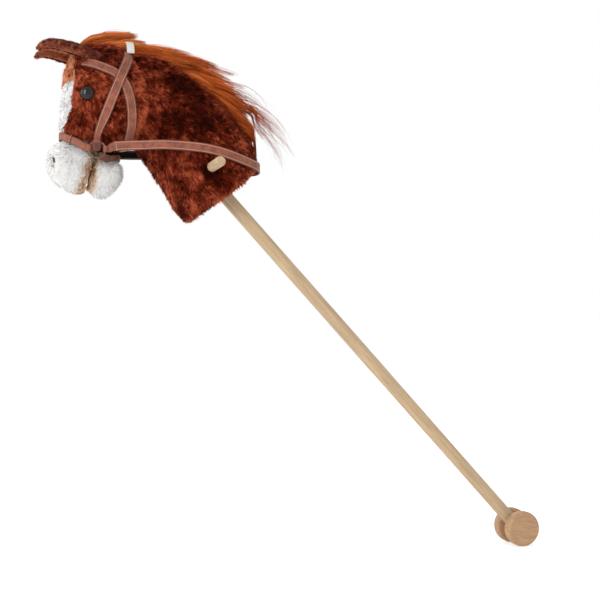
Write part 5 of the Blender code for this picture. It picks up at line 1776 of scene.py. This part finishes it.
def nostril(side, skin):
    """Slanted slit worked in dark thread."""
    sign = sign_of(side)
    top = Vector((-0.1995, sign * 0.0235, 0.0100))
    low = Vector((-0.1975, sign * 0.0245, 0.0022))
    along = (low - top).normalized()
    bm = bmesh.new()
    rows = []
    for i in range(9):
        share = i / 8
        wide = 0.0008 * math.sin(math.pi * (0.08 + 0.84 * share))
        hit, normal, _, _ = skin.find_nearest(top.lerp(low, share))
        across = normal.cross(along).normalized()
        offs = [k / 2 - 1 for k in range(5)]
        ring = [(off, 0.0034 + 0.0009 * (1 - off * off)) for off in offs]
        ring += [(off, 0.001) for off in offs[::-1]]
        rows.append([bm.verts.new(hit + across * wide * off + normal * height) for off, height in ring])
    skinned(bm, rows, True)
    face_out(bm)
    piece = place_mesh(mesh_from(bm, "nostril_" + side), "nostril_" + side, "nose")
    done(settle(subdivide(piece)), "horse")


class HORSE_OT_mouth(bpy.types.Operator):
    """Peach lining of the mouth, and the nostrils"""

    bl_idname = "horse.mouth"
    bl_label = "Mouth"

    def execute(self, context):
        half_height = 0.0300
        start = 0.10
        bend = 0.03
        off = 0.0002
        top = MOUTH_TOP_GAP / 2
        grow = (MOUTH_BOTTOM_GAP - MOUTH_TOP_GAP) / 2
        steps = 22
        bm = bmesh.new()
        grid = []
        for k in range(steps + 1):
            turn = math.pi * k / steps - math.pi / 2
            side = JAW_HALF_WIDTH * 0.56 * math.sin(turn)
            depth = half_height * (0.30 + 0.70 * math.cos(turn) ** 0.6)
            end = start + depth / half_height * 0.62
            line = []
            for i in range(9):
                share = end + (start + bend - end) * i / 8
                line.append(mouth_line(share, -(top + grow * share) - off))
            for i in range(5):
                turn = math.pi * i / 4
                share = start + bend - bend * math.sin(turn)
                line.append(mouth_line(share, -(top + grow * share) * math.cos(turn)))
            for i in range(9):
                share = start + bend + (end - start - bend) * i / 8
                line.append(mouth_line(share, top + grow * share + off))
            grid.append([bm.verts.new(side_point(p, side)) for p in line])
        skinned(bm, grid)
        bmesh.ops.remove_doubles(bm, verts=bm.verts, dist=0.00002)
        face_out(bm)
        fold = place_mesh(mesh_from(bm, "mouth_fold"), "mouth_fold", "peach")
        wall = fold.modifiers.new("wall", "SOLIDIFY")
        wall.thickness = 0.0014
        wall.offset = 0.0
        settle(fold)
        settle(subdivide(fold))
        done(fold, "horse", ["mouth_lining"])
        bm = bmesh.new()
        bmesh.ops.create_uvsphere(bm, u_segments=32, v_segments=16, radius=1.0)
        bmesh.ops.scale(bm, vec=(0.0085, 0.0250, 0.0042), verts=bm.verts)
        bmesh.ops.translate(bm, vec=(-0.1385, 0.0, 0.0228), verts=bm.verts)
        root = place_mesh(mesh_from(bm, "jaw_root"), "jaw_root", "brown_backing")
        root.data.shade_smooth()
        done(root, "horse")
        for side in SIDES:
            nostril(side, skin_named("muzzle_cover"))
        return {"FINISHED"}


def ear_leaf(name, sign, radius_off, thickness, opening, finish):
    """One folded leaf of an ear, open below."""
    across = 12
    curve = through([(x, 0.0, z, share) for x, z, share in EAR_AXIS], 4)
    count = len(curve)
    ways = unit(np.gradient(curve[:, :3], axis=0))
    bm = bmesh.new()
    rows = []
    for i in range(count):
        x, _, z, share = curve[i]
        middle = EAR_ROOT_SIDE + (EAR_TIP_SIDE - EAR_ROOT_SIDE) * i / (count - 1)
        up = Vector((ways[i, 2], 0.0, -ways[i, 0]))
        radius = max(EAR_RADIUS * share - radius_off, 0.0008)
        row = []
        for k in range(across + 1):
            turn = math.radians(opening) * (2 * k / across - 1)
            side = sign * middle + radius * math.sin(turn)
            row.append(bm.verts.new(Vector((x, side, z)) + up * radius * math.cos(turn)))
        rows.append(row)
    skinned(bm, rows)
    face_out(bm)
    piece = place_mesh(mesh_from(bm, name), name, finish)
    top = piece.data.polygons[len(piece.data.polygons) // 2 + across // 2 - 1]
    wall = piece.modifiers.new("wall", "SOLIDIFY")
    wall.thickness = thickness
    wall.offset = -1.0 if top.normal.z > 0 else 1.0
    settle(piece)
    settle(subdivide(piece))
    bm = opened(piece.data)
    face_out(bm)
    written(bm, piece.data)
    return piece


class HORSE_OT_ears(bpy.types.Operator):
    """Folded ears, fur outside and lining inside"""

    bl_idname = "horse.ears"
    bl_label = "Ears"

    def execute(self, context):
        axis = np.array([(x, z) for x, z, _ in EAR_AXIS])
        for side in SIDES:
            sign = sign_of(side)
            leaf = ear_leaf("ear_cover_" + side, sign, 0.0006, 0.0016, 122, "brown_backing")
            rows = coordinates(leaf.data)
            middle_z = np.interp(-rows[:, 0], -axis[:, 0], axis[:, 1])
            middle_y = np.interp(-rows[:, 0], (-axis[0, 0], -axis[-1, 0]), (EAR_ROOT_SIDE, EAR_TIP_SIDE))
            away = np.stack([np.zeros(len(rows)), rows[:, 1] - sign * middle_y, rows[:, 2] - middle_z], 1)
            outside = np.sum(unit(away) * normals_of(leaf.data), axis=1) > 0.2
            cover = outside * free_of(rows, skin_named("head_cover"))
            # The side that faces the middle is painted lighter towards the tip: painted light, where that
            # side catches the light
            inner = np.clip(-(rows[:, 1] * sign - middle_y) / 0.004, 0.0, 1.0)
            tip = np.clip((-0.150 - rows[:, 0]) / 0.03, 0.0, 1.0)
            glow = -0.16 + 0.12 * tip + 0.55 * inner * tip
            groomed(leaf, (-1.0, 0.0, -0.1), cover, np.ones(len(rows)), glow)
            done(leaf, "horse", [f"ear_{side}_outer"])
            lining = ear_leaf("ear_lining_cloth_" + side, sign, 0.0026, 0.0006, 116, "tan")
            done(lining, "horse", [f"ear_{side}_lining"])
        return {"FINISHED"}


def skin_named(name):
    """Search tree of a piece."""
    return skin_of(bpy.data.objects[name].data)


def whole_head():
    """Search tree of the head's three panels."""
    bm = opened(*[bpy.data.objects[name].data for name in ("head_cover", "blaze_cover", "forehead_cover")])
    bmesh.ops.remove_doubles(bm, verts=bm.verts, dist=0.00001)
    return skin_of(mesh_from(bm, "whole_head"))


def brow_throat(head, rest, lines):
    """Strap over the brow and under the throat."""
    loop = on_side(-1.0, BROW_THROAT_PATH) + on_side(1.0, BROW_THROAT_PATH[1:-1])[::-1]
    sunk_front = (-0.0046, -0.0046, -0.0046, 0.0)
    rise = sunk_front + (0.0,) * 13 + sunk_front[::-1]
    inner, outs = strap_faces(loop, (STRAP_WIDTH, STRAP_WIDTH), [head], rest, closed=True, rise=rise)
    mesh, outer = strap_mesh("brow_throat_leather", inner, outs, closed=True)
    piece = rounded(place_mesh(mesh, "brow_throat_leather", "leather", "strap_back"))
    done(piece, "horse", ["brow_throat_strap"])
    lines += edge_lines(outer, outs, closed=True)
    return skin_of(piece.data)


def cheeks(head, brow_skin, rest, lines):
    """Cheek straps, from the poll to the rings."""
    for side in SIDES:
        sign = sign_of(side)
        path = on_side(sign, CHEEK_PATH) + [
            (*ring_point(sign, CHEEK_ANGLE, RING_RADIUS * 1.75), 0.0),
            (*ring_point(sign, CHEEK_ANGLE), 0.0),
        ]
        widths = (STRAP_WIDTH, STRAP_WIDTH, STRAP_WIDTH, STRAP_WIDTH, LOOP_WIDTH)
        inner, outs = strap_faces(path, widths, [head], rest, [brow_skin])
        name = "cheek_leather_" + side
        leather(name, inner, outs, "cheek_strap_" + side, [(sign, CHEEK_ANGLE)], knot=sign)
        outer = inner + outs[:, None, :] * STRAP_THICKNESS
        lines += edge_lines(outer[1:-3], outs[1:-3])


def leather(name, inner, outs, node, ends, body="horse", knot=0.0, finish="leather"):
    """Strap with sleeves round the rings."""
    # A knot brings a third finish, the darker leather with painted shade
    finishes = [finish, "strap_back"] + (["dark_leather"] if knot else [])
    mesh, _ = strap_mesh(name, inner, outs)
    strap = rounded(place_mesh(mesh, name + "_flat", *finishes))
    meshes = [strap.data] + [sleeve_mesh(sign, degrees) for sign, degrees in ends]
    if knot:
        meshes.append(knot_mesh(knot))
    piece = joined(name, meshes, *finishes)
    drop(strap)
    return done(piece, body, [node])


def noseband(head, muzzle, rest):
    """Noseband with its keepers."""
    path = ring_to_ring(NOSE_ANGLE, 1.6, NOSE_PATH)
    widths = (LOOP_WIDTH, NOSEBAND_WIDTH, NOSEBAND_WIDTH, NOSEBAND_WIDTH, LOOP_WIDTH)
    inner, outs = standing(path, widths, [head, muzzle], rest)
    leather("noseband_leather", inner, outs, "noseband", [(-1.0, NOSE_ANGLE), (1.0, NOSE_ANGLE)])
    middles = inner[:, 2] + outs * STRAP_THICKNESS / 2
    for side in SIDES:
        keeper_at = np.array((-0.1765, sign_of(side) * 0.0310, 0.0310))
        i = int(np.argmin(np.linalg.norm(middles - keeper_at, axis=1)))
        across = Vector(inner[i, -1] - inner[i, 0]).normalized()
        keeper(side, Vector(middles[i]), across, Vector(outs[i]))


def keeper(side, middle, across, outward):
    """Metal loop round the noseband."""
    wire = bpy.context.scene.horse_metal.keeper_wire
    soft = 0.0009
    wide = NOSEBAND_WIDTH / 2 + FIT + wire / 2 - soft
    high = STRAP_THICKNESS / 2 + 0.0005 + wire / 2 - soft
    curve = bpy.data.curves.new("keeper", "CURVE")
    curve.dimensions = "3D"
    curve.bevel_depth = wire / 2
    curve.bevel_resolution = 3
    spline = curve.splines.new("POLY")
    corners = ((wide, high, 0), (-wide, high, 90), (-wide, -high, 180), (wide, -high, 270))
    spots = [p for x, y, start in corners for p in arc((x, y), soft, start, start + 90, 4)]
    spline.points.add(len(spots) - 1)
    for point, (x, y) in zip(spline.points, spots):
        point.co = (*(middle + across * x + outward * y), 1.0)
    spline.use_cyclic_u = True
    tube = add_object("keeper_tube", curve)
    mesh = evaluated(tube)
    drop(tube)
    piece = place_mesh(mesh, "keeper_loop_" + side, "metal")
    done(piece, "horse", ["noseband_keeper_" + side])


def chin(jaw):
    """Chin strap, free between the rings and the jaw."""
    path = ring_to_ring(CHIN_ANGLE, 1.5, CHIN_PATH)
    widths = (LOOP_WIDTH, CHIN_STRAP_WIDTH * 0.88, LOOP_WIDTH)
    inner, outs = standing(path, widths, [jaw], 0.0006)
    ends = [(-1.0, CHIN_ANGLE), (1.0, CHIN_ANGLE)]
    # The chin strap takes the darker leather: painted shade, as it lies in shade under the rein
    leather("chin_leather", inner, outs, "chin_strap", ends, finish="dark_leather")


def standing(path, widths, skins, rest):
    """Upright band from ring to ring that bridges the hollows of what it lies on."""
    curve = evenly(through(path), 0.003)
    points = curve[:, :3].copy()
    along = unit(np.gradient(points, axis=0))
    outs = unit(np.cross(along, np.tile((0.0, 0.0, 1.0), (len(points), 1))))
    middle = len(points) // 2
    if np.dot(outs[middle], points[middle] - np.array((RING_AT[0], 0.0, points[middle, 2]))) < 0:
        outs = -outs
    offset = np.zeros(len(points))
    for i in range(len(points)):
        for lift in (-0.004, -0.002, 0.0, 0.002, 0.004):
            start = Vector(points[i] + outs[i] * 0.03 + np.array((0.0, 0.0, lift)))
            for skin in skins:
                hit, _, _, distance = skin.ray_cast(start, Vector(-outs[i]), 0.05)
                if hit is not None:
                    offset[i] = max(offset[i], 0.03 - distance + rest)
    hug = np.clip(curve[:, 3], 0.0, 1.0)
    points += outs * (averaged(offset[:, None], False, 4)[:, 0] * hug)[:, None]
    points = averaged(points, False, 4)
    return ribbon(points, spread_over(widths, len(points)), RING_AT[0])


def tapes(head, neck):
    """Tape that the mane is sewn to, and the white loop over the poll."""
    path = [
        (-0.1660, 0.0, 0.1560, 1.0), (-0.1500, 0.0, 0.1610, 1.0), (-0.1250, 0.0, 0.1600, 1.0),
        (-0.1000, 0.0, 0.1560, 1.0), (-0.0620, 0.0, 0.1480, 1.0), (-0.0300, 0.0, 0.1300, 1.0),
        (0.0000, 0.0, 0.1080, 1.0), (0.0300, 0.0, 0.0800, 1.0), (0.0540, 0.0, 0.0540, 1.0),
    ]
    inner, outs = strap_faces(path, (0.009, 0.009), [head, neck], 0.0016, thickness=0.0012)
    mesh, _ = strap_mesh("mane_tape", inner, outs, 0.0012)
    tape = rounded(place_mesh(mesh, "mane_tape", "tape", "tape"), 0.0003)
    done(tape, "horse", ["mane_strip"])
    turns = np.linspace(-8.0, 188.0, 25)
    arch = np.stack([-0.0265 * np.cos(np.radians(turns)), 0.1485 + 0.0160 * np.sin(np.radians(turns))], 1)
    outs = unit(np.stack([np.zeros(25), *(unit(arch - np.array((0.0, 0.1440))).T)], 1))
    inner = np.zeros((25, 5, 3))
    inner[:, :, 0] = POLL_X + 0.0015 + np.linspace(0.0048, -0.0048, 5)[None, :]
    inner[:, :, 1:] = arch[:, None, :]
    mesh, _ = strap_mesh("poll_webbing", inner, outs, 0.0014)
    webbing = rounded(place_mesh(mesh, "poll_webbing", "webbing", "webbing"), 0.0003)
    done(webbing, "horse", ["poll_loop"])


def wire_rings():
    """Rings of round wire."""
    for side in SIDES:
        bpy.ops.mesh.primitive_torus_add(
            major_segments=64, minor_segments=16, major_radius=RING_RADIUS, minor_radius=RING_WIRE / 2,
            location=(RING_AT[0], sign_of(side) * RING_SIDE, RING_AT[1]),
            rotation=(math.radians(90), 0.0, 0.0),
        )
        ring = settle(bpy.context.active_object)
        ring.name = "wire_ring_" + side
        painted(ring, "metal").data.shade_smooth()
        done(ring, "horse", ["ring_" + side])


class HORSE_OT_bridle(bpy.types.Operator):
    """Straps, rings and keepers of the bridle"""

    bl_idname = "horse.bridle"
    bl_label = "Bridle"

    def execute(self, context):
        head = whole_head()
        rest = 0.0026
        lines = []
        brow_skin = brow_throat(head, rest, lines)
        cheeks(head, brow_skin, rest, lines)
        noseband(head, skin_named("muzzle_cover"), rest)
        chin(skin_named("jaw_cover"))
        tapes(head, skin_named("neck_cover"))
        sew("bridle_stitching", lines, "horse")
        wire_rings()
        return {"FINISHED"}


def ribbon(points, width, inside=-0.05):
    """Upright ribbon: rows of its inner face, and the way out from a place in the middle plane."""
    count = len(points)
    wide = np.broadcast_to(np.asarray(width, dtype=float), (count,))
    along = unit(np.gradient(points, axis=0))
    outs = unit(np.cross(along, np.tile((0.0, 0.0, 1.0), (count, 1))))
    middle = np.array((inside, 0.0, points[count // 2, 2]))
    if float(np.dot(outs[count // 2], points[count // 2] - middle)) < 0:
        outs = -outs
    rises = unit(np.cross(outs, along))
    shares = np.array(COLUMNS)
    inner = points[:, None, :] + rises[:, None, :] * (wide[:, None] * shares[None, :])[:, :, None]
    return inner - outs[:, None, :] * STRAP_THICKNESS / 2, outs


class HORSE_OT_reins(bpy.types.Operator):
    """Rein with its tabs and stitching"""

    bl_idname = "horse.reins"
    bl_label = "Reins"

    def execute(self, context):
        half = evenly(through(REIN_SIDE), 0.004)
        line = averaged(np.vstack([half * (1.0, -1.0, 1.0), half[:-1][::-1]]), False, 3)
        inner, outs = ribbon(line, STRAP_WIDTH)
        mesh, outer = strap_mesh("rein_leather", inner, outs, crown=0.0)
        piece = rounded(place_mesh(mesh, "rein_leather", "leather", "strap_back"))
        done(piece, "rein", ["rein"])
        lines = edge_lines(outer, outs, trim=1, back=True)
        for row in (1, -2):
            share = np.linspace(0.14, 0.86, 4)[:, None]
            spots = outer[row, 0] + (outer[row, -1] - outer[row, 0]) * share + outs[row] * STITCH_LIFT
            lines.append((spots, np.tile(outs[row], (4, 1))))
        sew("rein_stitching", lines, "rein")
        lap = STRAP_THICKNESS + FIT
        ahead = unit(half[1] - half[0])
        inward = np.array((-ahead[1], ahead[0], 0.0)) * -lap
        for side in SIDES:
            sign = sign_of(side)
            turn = np.array((1.0, sign, 1.0))
            path = [
                ring_point(sign, REIN_ANGLE),
                ring_point(sign, REIN_ANGLE, RING_RADIUS * 1.5),
                (half[0] + inward) * turn,
                (half[0] + inward + ahead * REIN_LAP) * turn,
            ]
            points = evenly(through(path), 0.002)
            shares = np.linspace(0.0, 1.0, len(points))
            widths = np.interp(shares, (0.0, 0.45, 1.0), (LOOP_WIDTH, TAB_WIDTH, TAB_WIDTH))
            inner, outs = ribbon(points, widths)
            ends = [(sign, REIN_ANGLE)]
            leather("rein_tab_leather_" + side, inner, outs, "rein_tab_" + side, ends, "rein")
        return {"FINISHED"}


class HORSE_OT_eyes(bpy.types.Operator):
    """Domed black eyes"""

    bl_idname = "horse.eyes"
    bl_label = "Eyes"

    def execute(self, context):
        radius = EYE_DIAMETER / 2
        profile = [(0.0, EYE_HEIGHT)]
        for i in range(1, 13):
            turn = math.radians(90) * i / 12
            profile.append((radius * math.sin(turn), EYE_HEIGHT * math.cos(turn)))
        profile += [(radius * 0.97, -0.0008), (0.002, -0.0008), (0.002, -0.008), (0.0, -0.008)]
        skin = skin_named("head_cover")
        for side in SIDES:
            sign = sign_of(side)
            hit, normal, _, _ = skin.ray_cast(side_point(EYE_AT, sign * 0.2), Vector((0.0, -sign, 0.0)))
            matrix = normal.to_track_quat("Z", "Y").to_matrix().to_4x4()
            matrix.translation = hit + normal * 0.0030
            eye = lathe("eye_dome_" + side, profile, matrix, "eye")
            done(eye, "horse", ["eye_" + side])
            painted(frame["nodes"]["eye_washer_" + side], "washer")
        return {"FINISHED"}


def pressing_pieces():
    """Everything that presses the pile down, as one helper."""
    names = (
        "brow_throat_leather", "cheek_leather_left", "cheek_leather_right", "noseband_leather",
        "chin_leather", "eye_dome_left", "eye_dome_right", "poll_webbing", "mane_tape", "nostril_left",
        "nostril_right", "keeper_loop_left", "keeper_loop_right",
    )
    bm = opened(*[bpy.data.objects[name].data for name in names])
    middles = [(f, f.calc_center_median()) for f in bm.faces]
    under = [f for f, middle in middles if middle.x < -0.152 and middle.z > 0.125]
    bmesh.ops.delete(bm, geom=under, context="FACES")
    return place_mesh(mesh_from(bm, "pressing"), "pressing")


class HORSE_OT_pile(bpy.types.Operator):
    """Brown and white pile on the covers"""

    bl_idname = "horse.pile"
    bl_label = "Pile"

    def execute(self, context):
        sizes = context.scene.horse_plush
        tree = pile_tree()
        tuft = blade()
        pressing = pressing_pieces()
        # Cover, finish, length, halves, lean, ruffle, patches, contrast, density
        jobs = (
            ("neck", "brown_pile", sizes.pile, True, 1.7, 1.0, 42.0, 1.0, 1.0),
            ("head", "brown_pile", sizes.pile * 0.9, True, 1.6, 1.0, 48.0, 1.0, 1.0),
            ("forehead", "tan_pile", sizes.pile * 0.75, False, 1.6, 0.5, 48.0, 0.7, 1.2),
            ("blaze", "white_pile", sizes.white_pile * 0.8, False, 1.4, 0.6, 30.0, 0.25, 1.0),
            ("muzzle", "white_pile", sizes.white_pile, False, 1.1, 0.8, 40.0, 0.25, 0.9),
            ("jaw", "white_pile", sizes.white_pile, False, 1.1, 0.8, 40.0, 0.25, 0.9),
            ("ear_left", "ear_pile", sizes.ear_pile, False, 1.8, 0.4, 50.0, 0.9, 1.4),
            ("ear_right", "ear_pile", sizes.ear_pile, False, 1.8, 0.4, 50.0, 0.9, 1.4),
        )
        for seed, (part, finish, long, halves, lean, ruffle, patch, contrast, dense) in enumerate(jobs, 1):
            area, _, own_side = part.partition("_")
            cover = bpy.data.objects["_".join(filter(None, (area, "cover", own_side)))].data
            for side in (SIDES if halves else (own_side,)):
                inputs = {
                    "Tuft": tuft, "Pressed By": pressing, "Density": sizes.density * dense, "Length": long,
                    "Width": sizes.tuft, "Lean": lean, "Ruffle": ruffle, "Patch": patch,
                    "Side": sign_of(side) if halves else 0.0, "Contrast": contrast, "Seed": seed,
                    "Pile Material": material_for(finish),
                }
                full = "_".join(filter(None, (area, "pile", side)))
                piece = grown(cover.copy(), full, tree, inputs)
                done(piece, "horse")
        drop(tuft, pressing)
        return {"FINISHED"}


def strand_tree():
    """Tree that turns lines into flat tapering strands."""
    tree = bpy.data.node_groups.new("mane strands", "GeometryNodeTree")
    given = sockets(tree, ("Width", "Float", 0.0009), ("Hair Material", "Material", None))
    curve = out(tree, "MeshToCurve", {"Mesh": given["Geometry"]})
    along = out(tree, "SplineParameter")
    curve = stored(tree, curve, "along", along)
    taper = ranged(tree, along, 1.0, 0.12, 0.15, 1.0)
    wide = times(tree, given["Width"], taper)
    roll = times(tree, named(tree, "shade"), 40.0)
    curve = out(tree, "SetCurveTilt", {"Curve": curve, "Tilt": roll})
    across = out(tree, "CurvePrimitiveLine", {"Start": (-0.5, 0.0, 0.0), "End": (0.5, 0.0, 0.0)})
    shape = {"Curve": curve, "Profile Curve": across, "Scale": wide, "Fill Caps": False}
    strands = out(tree, "CurveToMesh", shape)
    with_map(tree, strands, named(tree, "shade"), named(tree, "along"), given["Hair Material"])
    return tree


def mane_strands(sizes):
    """Middle lines of the strands, gathered in locks, and their shades."""
    dice = np.random.default_rng(20)
    table = np.array(MANE_FLOW)
    walk = np.concatenate([[0.0], np.cumsum(np.hypot(np.diff(table[:, 0]), np.diff(table[:, 1])))])
    joints = 10

    def grow(place, root_y, side_turn, first, last, long, curl, droop):
        """Strands as integrated directions."""
        t = np.linspace(0.0, 1.0, joints)
        roots = np.stack([read(place, 0), root_y, read(place, 1)], 1)
        angle = last[:, None] + (first - last)[:, None] * (1.0 - t[None, :]) ** droop[:, None]
        angle = np.radians(angle + curl[:, None] * np.sin(t * math.pi * 1.3)[None, :])
        step = (long / (joints - 1))[:, None]
        aside = np.broadcast_to((side_turn * long / (joints - 1))[:, None], angle.shape)
        steps = np.stack([np.cos(angle) * step, aside, np.sin(angle) * step], 2)
        steps[:, 0] = 0.0
        return roots[:, None, :] + np.cumsum(steps, axis=1)

    def read(place, column):
        return np.interp(place, walk, table[:, column])

    locks = sizes.locks
    lock_place = np.sort(dice.uniform(0.0, walk[-1], locks))
    lock_y = dice.normal(0.0, 0.55, locks).clip(-1.0, 1.0) * sizes.spread
    lock_first = read(lock_place, 2) + dice.normal(0.0, 6.0, locks)
    lock_last = read(lock_place, 3) + dice.normal(0.0, 4.5, locks)
    lock_long = read(lock_place, 4) * (0.42 + 0.66 * dice.uniform(size=locks) ** 1.5)
    long_ones = dice.uniform(size=locks) < 0.06
    lock_long[long_ones] *= 1.2
    fly_from = walk[11]
    fly_to = walk[13] + 0.008
    flying = (dice.uniform(size=locks) < 0.32) & (lock_place > fly_from) & (lock_place < fly_to)
    lock_long[flying] = dice.uniform(0.085, 0.148, np.sum(flying))
    lock_first[flying] += 14.0
    lock_last[flying] = dice.uniform(-78.0, -50.0, np.sum(flying))
    lock_droop = np.where(flying, 0.7, 1.8)
    lock_curl = dice.normal(0.0, 6.0, locks)
    lock_turn = lock_y / sizes.spread * 0.16 + dice.normal(0.0, 0.05, locks)
    lock_shade = dice.normal(0.5, 0.16, locks)
    lock_shade += np.interp(lock_place / walk[-1], (0.0, 0.22, 0.40, 1.0), (0.20, 0.14, -0.14, -0.10))
    lock_shade[flying] -= 0.34
    of_lock = np.sort(dice.integers(0, locks, sizes.strands))
    count = len(of_lock)
    place = (lock_place[of_lock] + dice.normal(0.0, 0.0022, count)).clip(0.0, walk[-1])
    short = flying[of_lock] & (dice.uniform(size=count) < 0.74)
    long = lock_long[of_lock] * dice.uniform(0.75, 1.06, count) * np.where(short, 0.42, 1.0)
    rows = grow(
        place,
        (lock_y[of_lock] + dice.normal(0.0, 0.0020, count)).clip(-0.010, 0.010),
        lock_turn[of_lock] + dice.normal(0.0, 0.03, count),
        lock_first[of_lock] + dice.normal(0.0, 5.0, count),
        lock_last[of_lock] + dice.normal(0.0, 3.0, count),
        long,
        lock_curl[of_lock] + dice.normal(0.0, 3.0, count),
        lock_droop[of_lock],
    )
    centre = grow(lock_place, lock_y, lock_turn, lock_first, lock_last, lock_long, lock_curl, lock_droop)
    centre = np.where(short[:, None, None], rows, centre[of_lock])
    t = np.linspace(0.0, 1.0, joints)[None, :, None]
    rows += (centre - rows) * (0.72 * t ** 1.4)
    rows[:, :, 2] -= (dice.uniform(0.0, 0.0085, count) * near(rows[:, 0, 0], -0.096, 0.026))[:, None]
    rows = under_webbing(clear_of_rein(rows, dice))
    shade = (lock_shade[of_lock] + dice.normal(0.0, 0.14, count)).clip(0.0, 1.0)
    return rows, shade


def clear_of_rein(rows, dice):
    """Keep each strand on one side of the room that the rein sweeps behind the neck."""
    ends = np.hypot(rows[:, (0, -1), 0] - RING_AT[0], rows[:, (0, -1), 2] - RING_AT[1])
    room = HAIR_INSIDE - dice.uniform(0.0, 0.006, len(rows)) - ends[:, 0]
    kept = np.clip(room / np.maximum(ends[:, 1] - ends[:, 0], 1e-6), 0.2, 1.0)
    caught = (ends[:, 1] < HAIR_OUTSIDE) & (ends[:, 1] > ends[:, 0]) & (rows[:, -1, 2] < 0.098)
    rows = rows[:, :1] + (rows - rows[:, :1]) * np.where(caught, kept, 1.0)[:, None, None]
    x = rows[:, :, 0] - RING_AT[0]
    z = rows[:, :, 2] - RING_AT[1]
    radius = np.hypot(x, z)
    turn = np.degrees(np.arctan2(z, x))
    low, high = REIN_SWEEP
    line = np.array(REIN_SIDE[8:])[::-1]
    swept = np.hypot(line[:, 0] - RING_AT[0], line[:, 2] - RING_AT[1])
    reach = np.interp(np.abs(rows[:, :, 1]), line[:, 1], swept)
    share = np.clip((high + 5.0 - turn) / 4.0, 0.0, 1.0) * np.clip((turn - low + 6.0) / 5.0, 0.0, 1.0)
    share = np.where(x > 0.10, share, 0.0)
    beyond = np.sum((radius - reach) * share, axis=1) / np.maximum(np.sum(share, axis=1), 1e-6)
    outside = ((beyond > -0.001) & (radius[:, -1] > HAIR_OUTSIDE) & (turn[:, 0] > high + 4.5))[:, None]
    wanted = np.where(outside, np.maximum(radius, reach + 0.0044), np.minimum(radius, reach - 0.0036))
    scale = (radius + share * (wanted - radius)) / np.maximum(radius, 1e-9)
    rows[:, :, 0] = RING_AT[0] + x * scale
    rows[:, :, 2] = RING_AT[1] + z * scale
    return rows


def under_webbing(rows):
    """Draw the hair in under the white loop over the poll."""
    here = np.clip(2.4 - np.abs(rows[:, :, 0] + 0.1015) / 0.010, 0.0, 1.0) * (rows[:, :, 2] < 0.166)
    drawn = np.clip(rows[:, :, 1], -0.009, 0.009)
    rows[:, :, 1] += (drawn - rows[:, :, 1]) * here
    return rows


def strand_lines(name, rows, shade):
    """Strands as a mesh of edges with their shade."""
    count, joints, _ = rows.shape
    first = (np.arange(count)[:, None] * joints + np.arange(joints - 1)[None, :]).ravel()
    mesh = bpy.data.meshes.new(name)
    mesh.vertices.add(count * joints)
    mesh.edges.add(len(first))
    mesh.vertices.foreach_set("co", rows.astype(np.float32).ravel())
    mesh.edges.foreach_set("vertices", np.stack([first, first + 1], 1).astype(np.int32).ravel())
    mesh.update()
    write_attribute(mesh, "shade", "FLOAT", np.repeat(shade, joints))
    return mesh


class HORSE_OT_mane(bpy.types.Operator):
    """Long hair along the crest"""

    bl_idname = "horse.mane"
    bl_label = "Mane"

    def execute(self, context):
        sizes = context.scene.horse_mane
        tree = strand_tree()
        rows, shade = mane_strands(sizes)
        third = len(rows) // 3
        for i, name in enumerate(("mane_front", "mane_middle", "mane_rear")):
            chosen = slice(i * third, (i + 1) * third if i < 2 else len(rows))
            mesh = strand_lines(name, rows[chosen], shade[chosen])
            piece = grown(mesh, name, tree, {"Width": sizes.width, "Hair Material": material_for("hair")})
            done(piece, "horse", ["mane_hair"] if i == 0 else ())
        return {"FINISHED"}


class HORSE_PT_panel(bpy.types.Panel):
    """Steps of the hobby horse"""

    bl_label = "Hobby horse"
    bl_idname = "HORSE_PT_panel"
    bl_space_type = "VIEW_3D"
    bl_region_type = "UI"
    bl_category = "Hobby horse"

    def draw(self, context):
        for step in STEPS:
            self.layout.operator(step.bl_idname)
        for key, group in GROUPS.items():
            box = self.layout.box()
            box.label(text=group.__doc__)
            for name in group.__annotations__:
                box.prop(getattr(context.scene, key), name)


STEPS = (
    HORSE_OT_stage,
    HORSE_OT_wood,
    HORSE_OT_covers,
    HORSE_OT_mouth,
    HORSE_OT_ears,
    HORSE_OT_eyes,
    HORSE_OT_bridle,
    HORSE_OT_reins,
    HORSE_OT_pile,
    HORSE_OT_mane,
)


def register():
    """Register the sizes, the steps and the panel."""
    for key, group in GROUPS.items():
        bpy.utils.register_class(group)
        setattr(bpy.types.Scene, key, bpy.props.PointerProperty(type=group))
    for step in (*STEPS, HORSE_PT_panel):
        bpy.utils.register_class(step)


def unregister():
    """Undo register."""
    for step in (HORSE_PT_panel, *STEPS[::-1]):
        bpy.utils.unregister_class(step)
    for key, group in GROUPS.items():
        delattr(bpy.types.Scene, key)
        bpy.utils.unregister_class(group)


def main():
    """Make every piece."""
    register()
    for step in STEPS:
        group, name = step.bl_idname.split(".")
        getattr(getattr(bpy.ops, group), name)()


if __name__ == "__main__":
    main()
